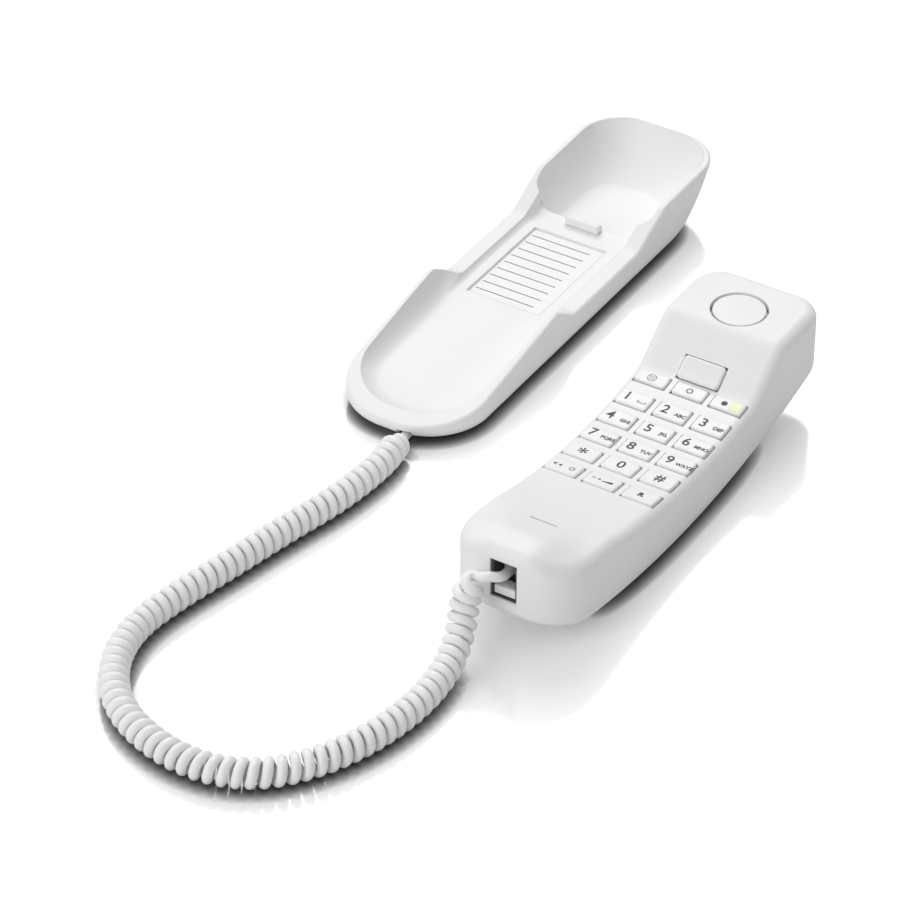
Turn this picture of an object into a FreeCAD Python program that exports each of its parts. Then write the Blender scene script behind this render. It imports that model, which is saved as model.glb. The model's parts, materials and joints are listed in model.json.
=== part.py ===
import FreeCAD, Part
import math
import operator
import os
from types import SimpleNamespace

import Sketcher
from FreeCAD import Placement, Rotation, Vector

# Corded phone: a cradle with a directory card, a handset with the keypad, and a curly cord.
# Millimetres. The origin is on the table below the middle of the cradle, +Y points to the
# ear end, +X to the handset, +Z up.

# Driving dimensions
SIZES = {
    # Cradle outline
    "base_length": 198.0,
    "base_width": 59.0,
    "base_draft": 0.2,
    "front_corner": 26.5,
    "back_corner": 20.0,
    "foot_height": 0.8,
    "head_overhang": 14.0,
    "hull_radius": 45.0,
    "hull_side_radius": 1.8,
    "front_rise_length": 5.0,
    "front_rise_height": 4.0,
    # Cradle rim, seen from the side
    "lip_height": 7.8,
    "shoulder_place": 21.5,
    "shoulder_height": 21.4,
    "shoulder_foot_place": 8.5,
    "neck_height": 13.5,
    "rise_foot_place": 40.0,
    "rise_top_place": 61.0,
    "head_rim_height": 24.2,
    "shoulder_round": 4.5,
    "neck_round": 6.0,
    "rise_round": 13.0,
    "rim_round": 1.3,
    # Mouth cup, neck and ear cup
    "wall": 2.5,
    "neck_floor": 11.5,
    "trough_width": 45.0,
    "trough_round": 2.6,
    "mouth_floor_drop": 5.4,
    "mouth_floor_length": 66.0,
    "mouth_front_wall": 4.6,
    "mouth_side_round": 8.0,
    "mouth_front_round": 11.0,
    "mouth_back": 9.5,
    "ear_front": 50.0,
    "ear_floor": 6.0,
    "ear_side_round": 22.0,
    "ear_front_corner": 7.0,
    # Directory card
    "card_width": 31.4,
    "card_length": 50.4,
    "card_place": 11.5,
    "card_thickness": 0.3,
    "window_thickness": 0.8,
    "window_margin": 0.8,
    # Hook tab
    "tab_width": 15.0,
    "tab_thickness": 3.2,
    "tab_place": 47.2,
    "tab_height": 8.2,
    "tab_stand": 3.4,
    # Bay below the neck and base plate
    "bay_width": 40.0,
    "bay_back": 46.0,
    "bay_front": 22.0,
    "bay_ceiling": 9.0,
    "plate_margin": 2.0,
    "plate_thickness": 2.0,
    "plate_gap": 0.2,
    "keyhole_spacing": 50.0,
    "keyhole_entry": 4.2,
    "keyhole_slot": 2.1,
    "keyhole_reach": 7.0,
    "post_radius": 3.0,
    "post_inset": 2.4,
    "screw_radius": 1.2,
    "screw_head_radius": 2.3,
    "screw_head_depth": 1.2,
    "screw_length": 5.6,
    "foot_radius": 4.2,
    "foot_thickness": 1.6,
    "foot_spread": 31.0,
    "foot_front": 64.0,
    "foot_back": 58.0,
    "board_thickness": 1.6,
    "board_width": 27.0,
    "board_x": 5.0,
    "board_margin": 8.0,
    "board_height": 6.2,
    "board_post_inset": 4.0,
    "board_post_radius": 1.8,
    "ringer_radius": 10.0,
    "ringer_thickness": 3.0,
    "sound_slot_width": 1.4,
    "sound_slot_length": 11.0,
    "sound_slot_pitch": 3.4,
    # Line socket
    "socket_place": 25.0,
    "socket_low": 2.3,
    "socket_setback": 5.0,
    "socket_width": 13.0,
    "socket_height": 7.6,
    "socket_depth": 12.0,
    "socket_mouth_width": 9.8,
    "socket_mouth_height": 6.4,
    "socket_mouth_depth": 10.0,
    # Cord jacks and plugs
    "jack_wall": 0.7,
    "plug_width": 7.7,
    "plug_height": 6.0,
    "plug_length": 11.0,
    "plug_gap": 0.15,
    "base_jack_x": 8.0,
    "base_jack_front": 38.0,
    "base_jack_depth": 14.0,
    "base_plug_out": 3.0,
    "channel_width": 6.0,
    "channel_depth": 5.3,
    "plug_well_length": 5.0,
    "cord_drop_length": 18.0,
    # Handset
    "handset_x": 100.0,
    "handset_y": -79.0,
    "handset_width": 51.4,
    "mouth_end": 99.0,
    "ear_end": 92.5,
    "mouth_corner": 18.0,
    "ear_corner": 12.0,
    "back_radius": 350.0,
    "back_low_place": 10.0,
    "face_radius": 230.0,
    "face_height": 23.5,
    "mouth_top_place": 87.0,
    "mouth_end_height": 39.6,
    "slope_foot_place": 38.5,
    "slope_top_place": 57.5,
    "ear_height": 41.9,
    "slope_foot_round": 7.0,
    "slope_top_round": 9.0,
    "mouth_top_round": 16.0,
    "face_edge_round": 4.5,
    "back_edge_round": 5.0,
    "handset_wall": 2.2,
    "parting_height": 5.4,
    # Keypad
    "key_width": 13.4,
    "key_length": 8.2,
    "key_pitch_across": 16.0,
    "key_proud": 0.9,
    "key_corner": 0.9,
    "key_edge": 0.45,
    "key_gap": 0.25,
    "key_travel": 1.0,
    "flange_margin": 0.7,
    "flange_inset": 1.6,
    "flange_gap": 0.2,
    "row_top": 33.2,
    "row_one": 20.2,
    "row_pitch": 12.6,
    "row_bottom": 30.4,
    "top_key_length": 6.4,
    "lens_width": 5.0,
    "lens_depth": 1.2,
    "lens_margin": 0.8,
    "lamp_radius": 1.5,
    "lamp_height": 1.4,
    "mat_height": 18.2,
    "mat_thickness": 1.2,
    "mat_width": 44.0,
    "mat_margin": 1.5,
    "handset_board_width": 44.0,
    "handset_board_margin": 8.0,
    "handset_post_radius": 2.5,
    "handset_post_inset": 3.6,
    # Hook button
    "button_width": 17.5,
    "button_length": 9.6,
    "button_proud": 1.2,
    "button_height": 5.0,
    "button_place": 4.6,
    "button_corner": 1.4,
    "switch_width": 12.0,
    "switch_length": 6.0,
    "switch_height": 4.0,
    "switch_inset": 4.0,
    # Ear disc and receiver
    "ear_place": 70.0,
    "ear_disc_radius": 10.4,
    "ear_ring_gap": 0.7,
    "ear_crown": 0.3,
    "ear_flange_radius": 11.5,
    "ear_flange_thickness": 0.9,
    "ear_flange_gap": 0.7,
    "receiver_radius": 11.3,
    "receiver_height": 8.0,
    "holder_wall": 1.5,
    "holder_gap": 0.3,
    # Microphone
    "mic_place": 71.8,
    "mic_slit_length": 11.0,
    "mic_slit_width": 0.8,
    "mic_radius": 4.0,
    "mic_height": 5.0,
    # Handset jack
    "hole_width": 10.8,
    "hole_height": 16.6,
    "hole_low": 18.2,
    "jack_setback": 0.8,
    "jack_depth": 19.0,
    "handset_plug_height": 28.4,
    "handset_plug_back": 7.0,
    # Handset screws
    "front_screw_place": 58.0,
    "rear_screw_place": 54.0,
    "tower_radius": 3.0,
    "handset_screw_length": 9.0,
    "handset_screw_depth": 0.6,
    # Curly cord
    "cord_diameter": 4.0,
    "curl_outside": 11.5,
    "curl_pitch": 5.4,
}

# Axis of the curly cord, from the plug in the cradle to the plug in the handset.
# The curls lie on the table and climb to the handset at the far end.
CORD_AXIS = [
    (8.0, -41.0, 4.65),
    (8.0, -48.0, 4.65),
    (8.0, -57.0, 3.0),
    (8.0, -70.0, 2.5),
    (8.0, -88.0, 2.5),
    (8.0, -99.0, 2.6),
    (11.0, -109.5, 5.9),
    (12.6, -121.0, 6.0),
    (10.5, -146.0, 6.0),
    (4.0, -172.0, 6.0),
    (-1.5, -200.0, 6.0),
    (-7.5, -226.0, 6.0),
    (-9.8, -248.0, 6.0),
    (-3.5, -268.0, 6.0),
    (11.0, -284.5, 6.0),
    (32.0, -293.5, 6.0),
    (54.0, -295.0, 6.0),
    (72.0, -287.5, 6.0),
    (84.5, -272.0, 6.0),
    (93.0, -252.0, 6.0),
    (97.0, -230.0, 6.0),
    (96.5, -212.0, 6.6),
    (94.6, -200.5, 9.6),
    (92.2, -192.5, 15.0),
    (90.6, -188.0, 22.0),
    (91.6, -185.6, 28.0),
    (95.6, -183.6, 31.0),
    (99.4, -180.6, 29.8),
    (100.0, -176.5, 28.4),
    (100.0, -171.0, 28.4),
]
CURLS_START_AFTER = 60.0
CURLS_STOP_BEFORE = 18.0
CURL_LEAD = 12.0
LEAD_TURN_RATE = 0.24
STEPS_PER_TURN = 2
AXIS_SAMPLE = 0.02
TAIL_STEP = 4.0
RUN_SHARE = 0.45
GAP_SAMPLES_PER_ARC = 8
END_TOLERANCE = 1e-6

DIAL_KEYS = (("1", "2", "3"), ("4", "5", "6"), ("7", "8", "9"), ("star", "0", "hash"))
TOP_KEYS = ("mute", "store", "message")
BOTTOM_KEYS = ("redial", "volume", "recall")
PARTS_FOLDER = "parts"
SOUND_SLOTS = 5

# Levels above the foot, the cup floor or the neck at which the lofted outlines are drawn
HULL_LEVELS = (0.0, 1.2, 3.2, 6.2, 10.0, 16.0)
MOUTH_LEVELS = (0.0, 1.2, 3.2, 6.0, 11.0, 26.0)
EAR_LEVELS = (0.0, 3.0, 7.0, 12.0, 18.0, 28.0)
FACE_SIDE_SPLIT = 20.0

# Lengths that only make a cutting tool reach past what it cuts, or a piece reach into its wall
BEYOND = 5.0
INTO_WALL = 1.0
SLACK = 0.1

OPERATIONS = {"+": operator.add, "-": operator.sub, "*": operator.mul, "/": operator.truediv}


class Measure:
    """A size that carries its number and its spreadsheet expression."""

    def __init__(self, value, text):
        self.value = float(value)
        self.text = text

    def __add__(self, other):
        return combine(self, "+", other)

    def __radd__(self, other):
        return combine(other, "+", self)

    def __sub__(self, other):
        return combine(self, "-", other)

    def __rsub__(self, other):
        return combine(other, "-", self)

    def __mul__(self, other):
        return combine(self, "*", other)

    def __rmul__(self, other):
        return combine(other, "*", self)

    def __truediv__(self, other):
        return combine(self, "/", other)

    def __neg__(self):
        return combine(0.0, "-", self)


def as_measure(thing):
    """A plain number as a Measure, or the Measure itself."""
    if isinstance(thing, Measure):
        return thing
    return Measure(thing, f"({float(thing)!r})")


def combine(left, sign, right):
    left, right = as_measure(left), as_measure(right)
    value = OPERATIONS[sign](left.value, right.value)
    return Measure(value, f"({left.text} {sign} {right.text})")


def root(measure):
    measure = as_measure(measure)
    return Measure(math.sqrt(measure.value), f"sqrt({measure.text})")


def slope_angle(rise, run):
    """Angle in degrees of a slope that climbs rise over run."""
    rise, run = as_measure(rise), as_measure(run)
    angle = math.degrees(math.atan2(rise.value, run.value))
    return Measure(angle, f"atan2({rise.text}; {run.text})")


doc = FreeCAD.newDocument("CordedPhone")
sheet = doc.addObject("Spreadsheet::Sheet", "Sizes")
for row, (alias, number) in enumerate(SIZES.items(), start=1):
    sheet.set(f"A{row}", alias)
    sheet.set(f"B{row}", str(number))
    sheet.setAlias(f"B{row}", alias)
doc.recompute()
size = SimpleNamespace(
    **{alias: Measure(sheet.get(alias), f"Sizes.{alias}") for alias in SIZES}
)

nodes = []


def node(thing, label):
    """Mark a finished sub-part: its label names its file."""
    thing.Label = label
    nodes.append(thing)
    return thing


def bind(thing, name, measure):
    thing.setExpression(name, as_measure(measure).text)


def place(thing, x=0.0, y=0.0, z=0.0):
    """Bind the place of a piece, keeping its turn."""
    for axis, measure in zip("xyz", (x, y, z)):
        bind(thing, f"Placement.Base.{axis}", measure)
    return thing


def turn(thing, axis, angle):
    """Turn a piece about an axis by a bound angle in degrees."""
    thing.Placement = Placement(thing.Placement.Base, Rotation(axis, as_measure(angle).value))
    bind(thing, "Placement.Rotation.Angle", angle)
    return thing


# Sketches and solid features

def new_body(name):
    return doc.addObject("PartDesign::Body", name)


def new_sketch(body, name, role, offset=0.0):
    """A sketch on one of the body's own planes, moved along the plane's normal."""
    plane = next(f for f in body.Origin.OriginFeatures if f.Role == role)
    sketch = body.newObject("Sketcher::SketchObject", name)
    sketch.AttachmentSupport = (plane, [""])
    sketch.MapMode = "FlatFace"
    bind(sketch, "AttachmentOffset.Base.z", offset)
    return sketch


def dimension(sketch, kind, measure, *where):
    measure = as_measure(measure)
    index = sketch.addConstraint(Sketcher.Constraint(kind, *where, measure.value))
    sketch.setExpression(f"Constraints[{index}]", measure.text)


def arc_through(start, end, radius):
    """Arc from start to end; a positive radius turns left, a negative one right."""
    chord = end - start
    left = Vector(-chord.y, chord.x, 0).normalize()
    rise = math.sqrt(radius * radius - chord.Length ** 2 / 4)
    centre = (start + end) * 0.5 + left * math.copysign(rise, radius)
    first, last = (start, end) if radius > 0 else (end, start)
    angle_first = math.atan2(first.y - centre.y, first.x - centre.x)
    angle_last = math.atan2(last.y - centre.y, last.x - centre.x)
    circle = Part.Circle(centre, Vector(0, 0, 1), abs(radius))
    return Part.ArcOfCircle(circle, angle_first, angle_last + (angle_last < angle_first) * 2 * math.pi)


def closed_profile(sketch, corners):
    """Close an outline through corners (across, up) or (across, up, bend to the next corner)."""
    corners = [tuple(as_measure(m) for m in corner) for corner in corners]
    ends = []
    for corner, following in zip(corners, corners[1:] + corners[:1]):
        start = Vector(corner[0].value, corner[1].value, 0)
        end = Vector(following[0].value, following[1].value, 0)
        if len(corner) == 2:
            edge = sketch.addGeometry(Part.LineSegment(start, end))
            ends.append((edge, 1, 2))
            continue
        radius = corner[2]
        edge = sketch.addGeometry(arc_through(start, end, radius.value))
        ends.append((edge, 1, 2) if radius.value > 0 else (edge, 2, 1))
    for (edge, _, stop), (after, begin, _) in zip(ends, ends[1:] + ends[:1]):
        sketch.addConstraint(Sketcher.Constraint("Coincident", edge, stop, after, begin))
    for corner, (edge, begin, _) in zip(corners, ends):
        dimension(sketch, "DistanceX", corner[0], edge, begin)
        dimension(sketch, "DistanceY", corner[1], edge, begin)
        if len(corner) == 3:
            radius = corner[2] if corner[2].value > 0 else -corner[2]
            dimension(sketch, "Radius", radius, edge)


def rounded_outline(sketch, half_width, front, back, front_round, back_round):
    """Outline symmetric about the up axis, with its own corner radius at each end."""
    half_width, front, back, front_round, back_round = (
        as_measure(m) for m in (half_width, front, back, front_round, back_round)
    )
    w, f, b = half_width.value, front.value, back.value
    rf, rb = front_round.value, back_round.value
    lines = [
        ((-w + rf, f), (w - rf, f)),
        ((w, f + rf), (w, b - rb)),
        ((w - rb, b), (-w + rb, b)),
        ((-w, b - rb), (-w, f + rf)),
    ]
    rounds = [
        (w - rf, f + rf, rf, -90),
        (w - rb, b - rb, rb, 0),
        (-w + rb, b - rb, rb, 90),
        (-w + rf, f + rf, rf, 180),
    ]
    for start, end in lines:
        sketch.addGeometry(Part.LineSegment(Vector(*start, 0), Vector(*end, 0)))
    for x, y, radius, angle in rounds:
        circle = Part.Circle(Vector(x, y, 0), Vector(0, 0, 1), radius)
        sketch.addGeometry(
            Part.ArcOfCircle(circle, math.radians(angle), math.radians(angle + 90))
        )
    for side in range(4):
        corner = 4 + side
        sketch.addConstraint(Sketcher.Constraint("Tangent", side, 2, corner, 1))
        sketch.addConstraint(Sketcher.Constraint("Tangent", corner, 2, (side + 1) % 4, 1))
    for side, kind in enumerate(("Horizontal", "Vertical", "Horizontal", "Vertical")):
        sketch.addConstraint(Sketcher.Constraint(kind, side))
    dimension(sketch, "DistanceY", front, 0, 1)
    dimension(sketch, "DistanceX", half_width, 1, 1)
    dimension(sketch, "DistanceY", back, 2, 1)
    dimension(sketch, "DistanceX", -half_width, 3, 1)
    for corner, radius in zip(range(4, 8), (front_round, back_round, back_round, front_round)):
        dimension(sketch, "Radius", radius, corner)


def pad(body, sketch, length, symmetric=False, reverse=False):
    feature = body.newObject("PartDesign::Pad", f"{sketch.Name}_pad")
    feature.Profile = sketch
    feature.SideType = "Symmetric" if symmetric else "One side"
    feature.Reversed = reverse
    bind(feature, "Length", length)
    doc.recompute()
    return feature


def loft(body, sketches):
    feature = body.newObject("PartDesign::AdditiveLoft", f"{body.Name}_loft")
    feature.Profile = sketches[0]
    feature.Sections = sketches[1:]
    doc.recompute()
    return feature


def round_edges(body, feature, radius, wanted):
    """Round those edges of the body's last feature that the test picks."""
    names = [
        f"Edge{index}" for index, edge in enumerate(feature.Shape.Edges, start=1) if wanted(edge)
    ]
    rounding = body.newObject("PartDesign::Fillet", f"{body.Name}_round")
    rounding.Base = (feature, names)
    bind(rounding, "Radius", radius)
    doc.recompute()
    return rounding


def crosses(up, tolerance=0.05):
    """Test for edges along X through a side-view point (y, z)."""
    y, z = (as_measure(m).value for m in up)

    def wanted(edge):
        box = edge.BoundBox
        near = math.hypot(box.Center.y - y, box.Center.z - z) < tolerance
        return near and box.XLength > max(box.YLength, box.ZLength)

    return wanted


def upright(edge):
    """Test for straight edges along Z."""
    box = edge.BoundBox
    return box.ZLength > 10 * max(box.XLength, box.YLength, 1e-6)


# Part primitives and booleans

def box(name, x, y, z, length, width, height):
    """A block with its low corner at x, y, z."""
    thing = doc.addObject("Part::Box", name)
    for side, measure in (("Length", length), ("Width", width), ("Height", height)):
        bind(thing, side, measure)
    return place(thing, x, y, z)


def centred_box(name, x, y, z, length, width, height):
    """A block that stands on z, centred on x and y."""
    length, width = as_measure(length), as_measure(width)
    return box(name, x - length / 2, y - width / 2, z, length, width, height)


def disc(name, x, y, z, radius, height):
    thing = doc.addObject("Part::Cylinder", name)
    bind(thing, "Radius", radius)
    bind(thing, "Height", height)
    return place(thing, x, y, z)


def fuse(name, pieces):
    if len(pieces) == 1:
        return pieces[0]
    thing = doc.addObject("Part::MultiFuse", name)
    thing.Shapes = pieces
    return thing


def cut(name, base, tools):
    thing = doc.addObject("Part::Cut", name)
    thing.Base = base
    thing.Tool = fuse(f"{name}_tools", tools)
    return thing


def common(name, pieces):
    thing = doc.addObject("Part::MultiCommon", name)
    thing.Shapes = pieces
    return thing


def group(name, pieces):
    """Separate solids that share one node."""
    thing = doc.addObject("Part::Compound", name)
    thing.Links = pieces
    return thing


def blend_edges(name, base, radius, wanted):
    """Round the edges of a boolean that the test picks."""
    doc.recompute()
    thing = doc.addObject("Part::Fillet", name)
    thing.Base = base
    thing.Edges = [
        (index, radius.value, radius.value)
        for index, edge in enumerate(base.Shape.Edges, start=1)
        if wanted(edge)
    ]
    doc.recompute()
    return thing


# Cradle shell

half_length = size.base_length / 2
half_base = size.base_width / 2
hull_centre_y = half_length + size.head_overhang - root(
    size.hull_radius * size.hull_radius
    - (size.hull_radius + size.foot_height - size.head_rim_height)
    * (size.hull_radius + size.foot_height - size.head_rim_height)
)
hull_centre_z = size.hull_radius + size.foot_height


def quarter(radius, depth):
    """How far a quarter round of this radius has come in at a depth above its foot."""
    below = radius - depth
    return radius - root(radius * radius - below * below)


def make_hull():
    """Outside of the cradle: level outlines from the flat foot up past the rim."""
    body = new_body("hull")
    sketches = []
    top = size.head_rim_height - size.foot_height + INTO_WALL
    for index, level in enumerate([as_measure(level) for level in HULL_LEVELS] + [top]):
        z = size.foot_height + level
        curved = level.value < SIZES["hull_side_radius"]
        side = quarter(size.hull_side_radius, level) if curved else 0.0
        draft = size.base_draft * (1.0 - level / top)
        half_width = half_base - draft - side
        share = (size.front_rise_height - level) / size.front_rise_height
        if share.value > 0:
            front = size.front_rise_length * (1.0 - root(1.0 - share * share)) - half_length
        else:
            front = -half_length
        below = hull_centre_z - z
        back = hull_centre_y + root(size.hull_radius * size.hull_radius - below * below)
        sketch = new_sketch(body, f"hull_level_{index}", "XY_Plane", z)
        front_round = size.front_corner - (half_base - half_width)
        back_round = size.back_corner - (half_base - half_width) * 0.5
        rounded_outline(sketch, half_width, front, back, front_round, back_round)
        sketches.append(sketch)
    loft(body, sketches)
    return body


def make_rim_cutter():
    """All that lies above the rim, as the rim looks from the side."""
    body = new_body("rim_cutter")
    sketch = new_sketch(body, "rim_profile", "YZ_Plane")
    far = size.base_length
    slope = (size.shoulder_height - size.lip_height) / (half_length - size.shoulder_place)
    past = 20.0
    rim_climb = 0.6
    shoulder = (-size.shoulder_place, size.shoulder_height)
    shoulder_foot = (-size.shoulder_foot_place, size.neck_height)
    rise_foot = (size.rise_foot_place, size.neck_height)
    rise_top = (size.rise_top_place, size.head_rim_height - rim_climb)
    closed_profile(sketch, [
        (-half_length - past, size.lip_height - slope * past),
        shoulder,
        shoulder_foot,
        rise_foot,
        rise_top,
        (half_length + past, size.head_rim_height + rim_climb),
        (half_length + past, far),
        (-half_length - past, far),
    ])
    feature = pad(body, sketch, size.base_width * 2, symmetric=True)
    feature = round_edges(body, feature, size.shoulder_round, crosses(shoulder))
    feature = round_edges(body, feature, size.neck_round, crosses(shoulder_foot))
    feature = round_edges(
        body, feature, size.rise_round,
        lambda edge: crosses(rise_foot)(edge) or crosses(rise_top)(edge),
    )
    return body


def make_mouth_cup():
    """Hollow of the mouth cup: outlines parallel to its sloping floor, turned into place."""
    body = new_body("mouth_cup")
    behind = 10.0
    corner_inset = 1.5
    start = size.mouth_back + behind
    top_width = half_base - size.wall
    front_top = half_length - size.mouth_front_wall - start
    sketches = []
    for index, level in enumerate(MOUTH_LEVELS):
        side = quarter(size.mouth_side_round, level) if level < SIZES["mouth_side_round"] else 0.0
        ahead = quarter(size.mouth_front_round, level) if level < SIZES["mouth_front_round"] else 0.0
        half_width = top_width - side
        sketch = new_sketch(body, f"mouth_level_{index}", "XY_Plane", level)
        rounded_outline(
            sketch, half_width, ahead - front_top, behind, half_width - corner_inset,
            size.mouth_side_round / 2,
        )
        sketches.append(sketch)
    loft(body, sketches)
    tilt = slope_angle(size.mouth_floor_drop, size.mouth_floor_length)
    turn(body, Vector(1, 0, 0), tilt)
    return place(body, 0.0, -start, size.neck_floor)


def make_trough():
    """Hollow of the neck between its two low ridges."""
    body = new_body("trough")
    sketch = new_sketch(body, "trough_profile", "XZ_Plane")
    half = size.trough_width / 2
    top = size.neck_floor + size.base_width
    closed_profile(sketch, [(-half, size.neck_floor), (half, size.neck_floor), (half, top), (-half, top)])
    into_ear, into_mouth = 2.0, 10.0
    feature = pad(body, sketch, size.ear_front + size.mouth_back + into_ear + into_mouth)
    low = size.neck_floor.value

    def foot(edge):
        middle = edge.BoundBox
        return middle.YLength > 10 and abs(middle.Center.z - low) < 0.05

    round_edges(body, feature, size.trough_round, foot)
    return place(body, 0.0, size.ear_front + into_ear, 0.0)


def make_ear_cup():
    """Hollow of the ear cup: a bowl with a flat floor, inside the hull by one wall."""
    body = new_body("ear_cup")
    inner = size.hull_radius - size.wall
    top_width = half_base - size.wall - size.base_draft
    sketches = []
    floor_rise = 3.0
    side_centre = size.ear_floor - floor_rise + size.ear_side_round
    for index, level in enumerate(EAR_LEVELS):
        z = size.ear_floor + level
        below = side_centre - z
        if below.value > 0:
            bulge = size.ear_side_round - root(size.ear_side_round * size.ear_side_round - below * below)
            half_width = top_width - bulge
        else:
            half_width = top_width
        depth = hull_centre_z - z
        back = hull_centre_y + root(inner * inner - depth * depth)
        front_round = size.ear_front_corner * half_width / top_width
        back_round = (size.back_corner - size.wall) * half_width / top_width
        sketch = new_sketch(body, f"ear_level_{index}", "XY_Plane", z)
        rounded_outline(sketch, half_width, size.ear_front, back, front_round, back_round)
        sketches.append(sketch)
    loft(body, sketches)
    return body


hull = make_hull()
rim_cutter = make_rim_cutter()
mouth_cup = make_mouth_cup()
trough = make_trough()
ear_cup = make_ear_cup()
cups = cut("cradle_cups", hull, [rim_cutter, mouth_cup, trough, ear_cup])
doc.recompute()


def lies_on(edge, thing):
    """Whether an edge lies on the surface of a solid."""
    skin = thing.Shape.Shells[0]
    first, last = edge.FirstParameter, edge.LastParameter
    shares = (0.3, 0.5, 0.7)
    points = [edge.valueAt(first + (last - first) * share) for share in shares]
    return all(skin.distToShape(Part.Vertex(point))[0] < 0.02 for point in points)


def outer_rim(edge):
    return edge.Length > 0.01 and lies_on(edge, rim_cutter) and lies_on(edge, hull)


rimmed = blend_edges("cradle_rim", cups, size.rim_round, outer_rim)

# What is cut into the cradle for the pieces that it holds
plate_low = size.foot_height
plate_top = size.foot_height + size.plate_thickness
bay_middle = (size.bay_back - size.bay_front) / 2
bay_length = size.bay_back + size.bay_front
plate_width = size.bay_width + size.plate_margin * 2
plate_length = bay_length + size.plate_margin * 2
jack_half = size.plug_width / 2 + size.plug_gap + size.jack_wall
jack_height = size.plug_height + size.plug_gap * 2 + size.jack_wall * 2
jack_back = size.base_jack_depth - size.base_jack_front
plug_middle = size.foot_height + jack_height / 2
base_plug_rear = -size.base_jack_front - size.base_plug_out

bay = centred_box("bay", 0.0, bay_middle, -BEYOND, size.bay_width, bay_length, size.bay_ceiling + BEYOND)
rebate = centred_box(
    "rebate", 0.0, bay_middle, -BEYOND,
    plate_width + size.plate_gap * 2, plate_length + size.plate_gap * 2, plate_top + BEYOND,
)
jack_pocket = box(
    "jack_pocket", size.base_jack_x - jack_half - size.plug_gap, -size.base_jack_front, -BEYOND,
    (jack_half + size.plug_gap) * 2, size.base_jack_depth + size.plug_gap + 2.0,
    size.foot_height + jack_height + size.plug_gap + BEYOND,
)
plug_well = box(
    "plug_well", size.base_jack_x - jack_half, base_plug_rear - size.plug_well_length, -BEYOND,
    jack_half * 2, size.base_plug_out + size.plug_well_length, plug_middle + jack_height / 2 + BEYOND,
)
cord_drop = centred_box(
    "cord_drop", size.base_jack_x, base_plug_rear - size.cord_drop_length / 2, -BEYOND,
    size.channel_width, size.cord_drop_length, plug_middle + size.channel_width / 2 + BEYOND,
)
cord_channel = box(
    "cord_channel", size.base_jack_x - size.channel_width / 2, -size.base_length, -BEYOND,
    size.channel_width, size.base_length + base_plug_rear, size.channel_depth + BEYOND,
)
card_recess = centred_box(
    "card_recess", 0.0, size.card_place, size.neck_floor - size.card_thickness - size.window_thickness,
    size.card_width + size.window_margin * 2, size.card_length + size.window_margin * 2, size.neck_floor,
)
tab_slot_gap = 0.2
tab_low = size.neck_floor + size.tab_stand - size.tab_height
tab_slot = centred_box(
    "tab_slot", 0.0, size.tab_place, tab_low - tab_slot_gap / 2,
    size.tab_width + tab_slot_gap * 2, size.tab_thickness + tab_slot_gap * 2, size.tab_height + BEYOND,
)
socket_front = size.socket_setback - half_base
socket_pocket = box(
    "socket_pocket", -size.base_width, size.socket_place - size.socket_width / 2 - SLACK,
    size.socket_low - SLACK,
    size.base_width + socket_front + size.socket_depth + SLACK, size.socket_width + SLACK * 2,
    size.socket_height + SLACK * 2,
)
foot_places = [
    (size.foot_spread / 2 * side, y) for side in (-1, 1) for y in (-size.foot_front, size.foot_back)
]
foot_recesses = [
    disc(f"foot_recess_{index}", x, y, -BEYOND, size.foot_radius + SLACK, size.foot_thickness + BEYOND)
    for index, (x, y) in enumerate(foot_places)
]
post_x = size.bay_width / 2 - size.post_inset
post_y = bay_length / 2 - size.post_inset
screw_places = [
    (post_x * across, bay_middle + post_y * along) for across in (-1, 1) for along in (-1, 1)
]
screw_posts = [
    disc(f"screw_post_{index}", x, y, plate_top, size.post_radius, size.bay_ceiling - plate_top + INTO_WALL)
    for index, (x, y) in enumerate(screw_places)
]
board_front = bay_middle - bay_length / 2 + size.board_margin
board_length = bay_length - size.board_margin * 2
board_top = size.board_height + size.board_thickness
board_posts = [
    disc(
        f"board_post_{across}_{along}",
        size.board_x + (size.board_width / 2 - size.board_post_inset) * across,
        bay_middle + (board_length / 2 - size.board_post_inset) * along,
        board_top, size.board_post_radius, size.bay_ceiling - board_top + INTO_WALL,
    )
    for across in (-1, 1) for along in (-1, 1)
]
pilot_holes = [
    disc(
        f"pilot_hole_{index}", x, y, 0.0, size.screw_radius + SLACK / 2,
        size.foot_height + size.screw_length + SLACK,
    )
    for index, (x, y) in enumerate(screw_places)
]
hollowed = cut(
    "cradle_hollowed", rimmed,
    [bay, rebate, jack_pocket, plug_well, cord_drop, cord_channel, card_recess, tab_slot, socket_pocket]
    + foot_recesses,
)
posted = fuse("cradle_posted", [hollowed] + screw_posts + board_posts)
node(cut("cradle", posted, pilot_holes), "cradle_shell")


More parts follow.
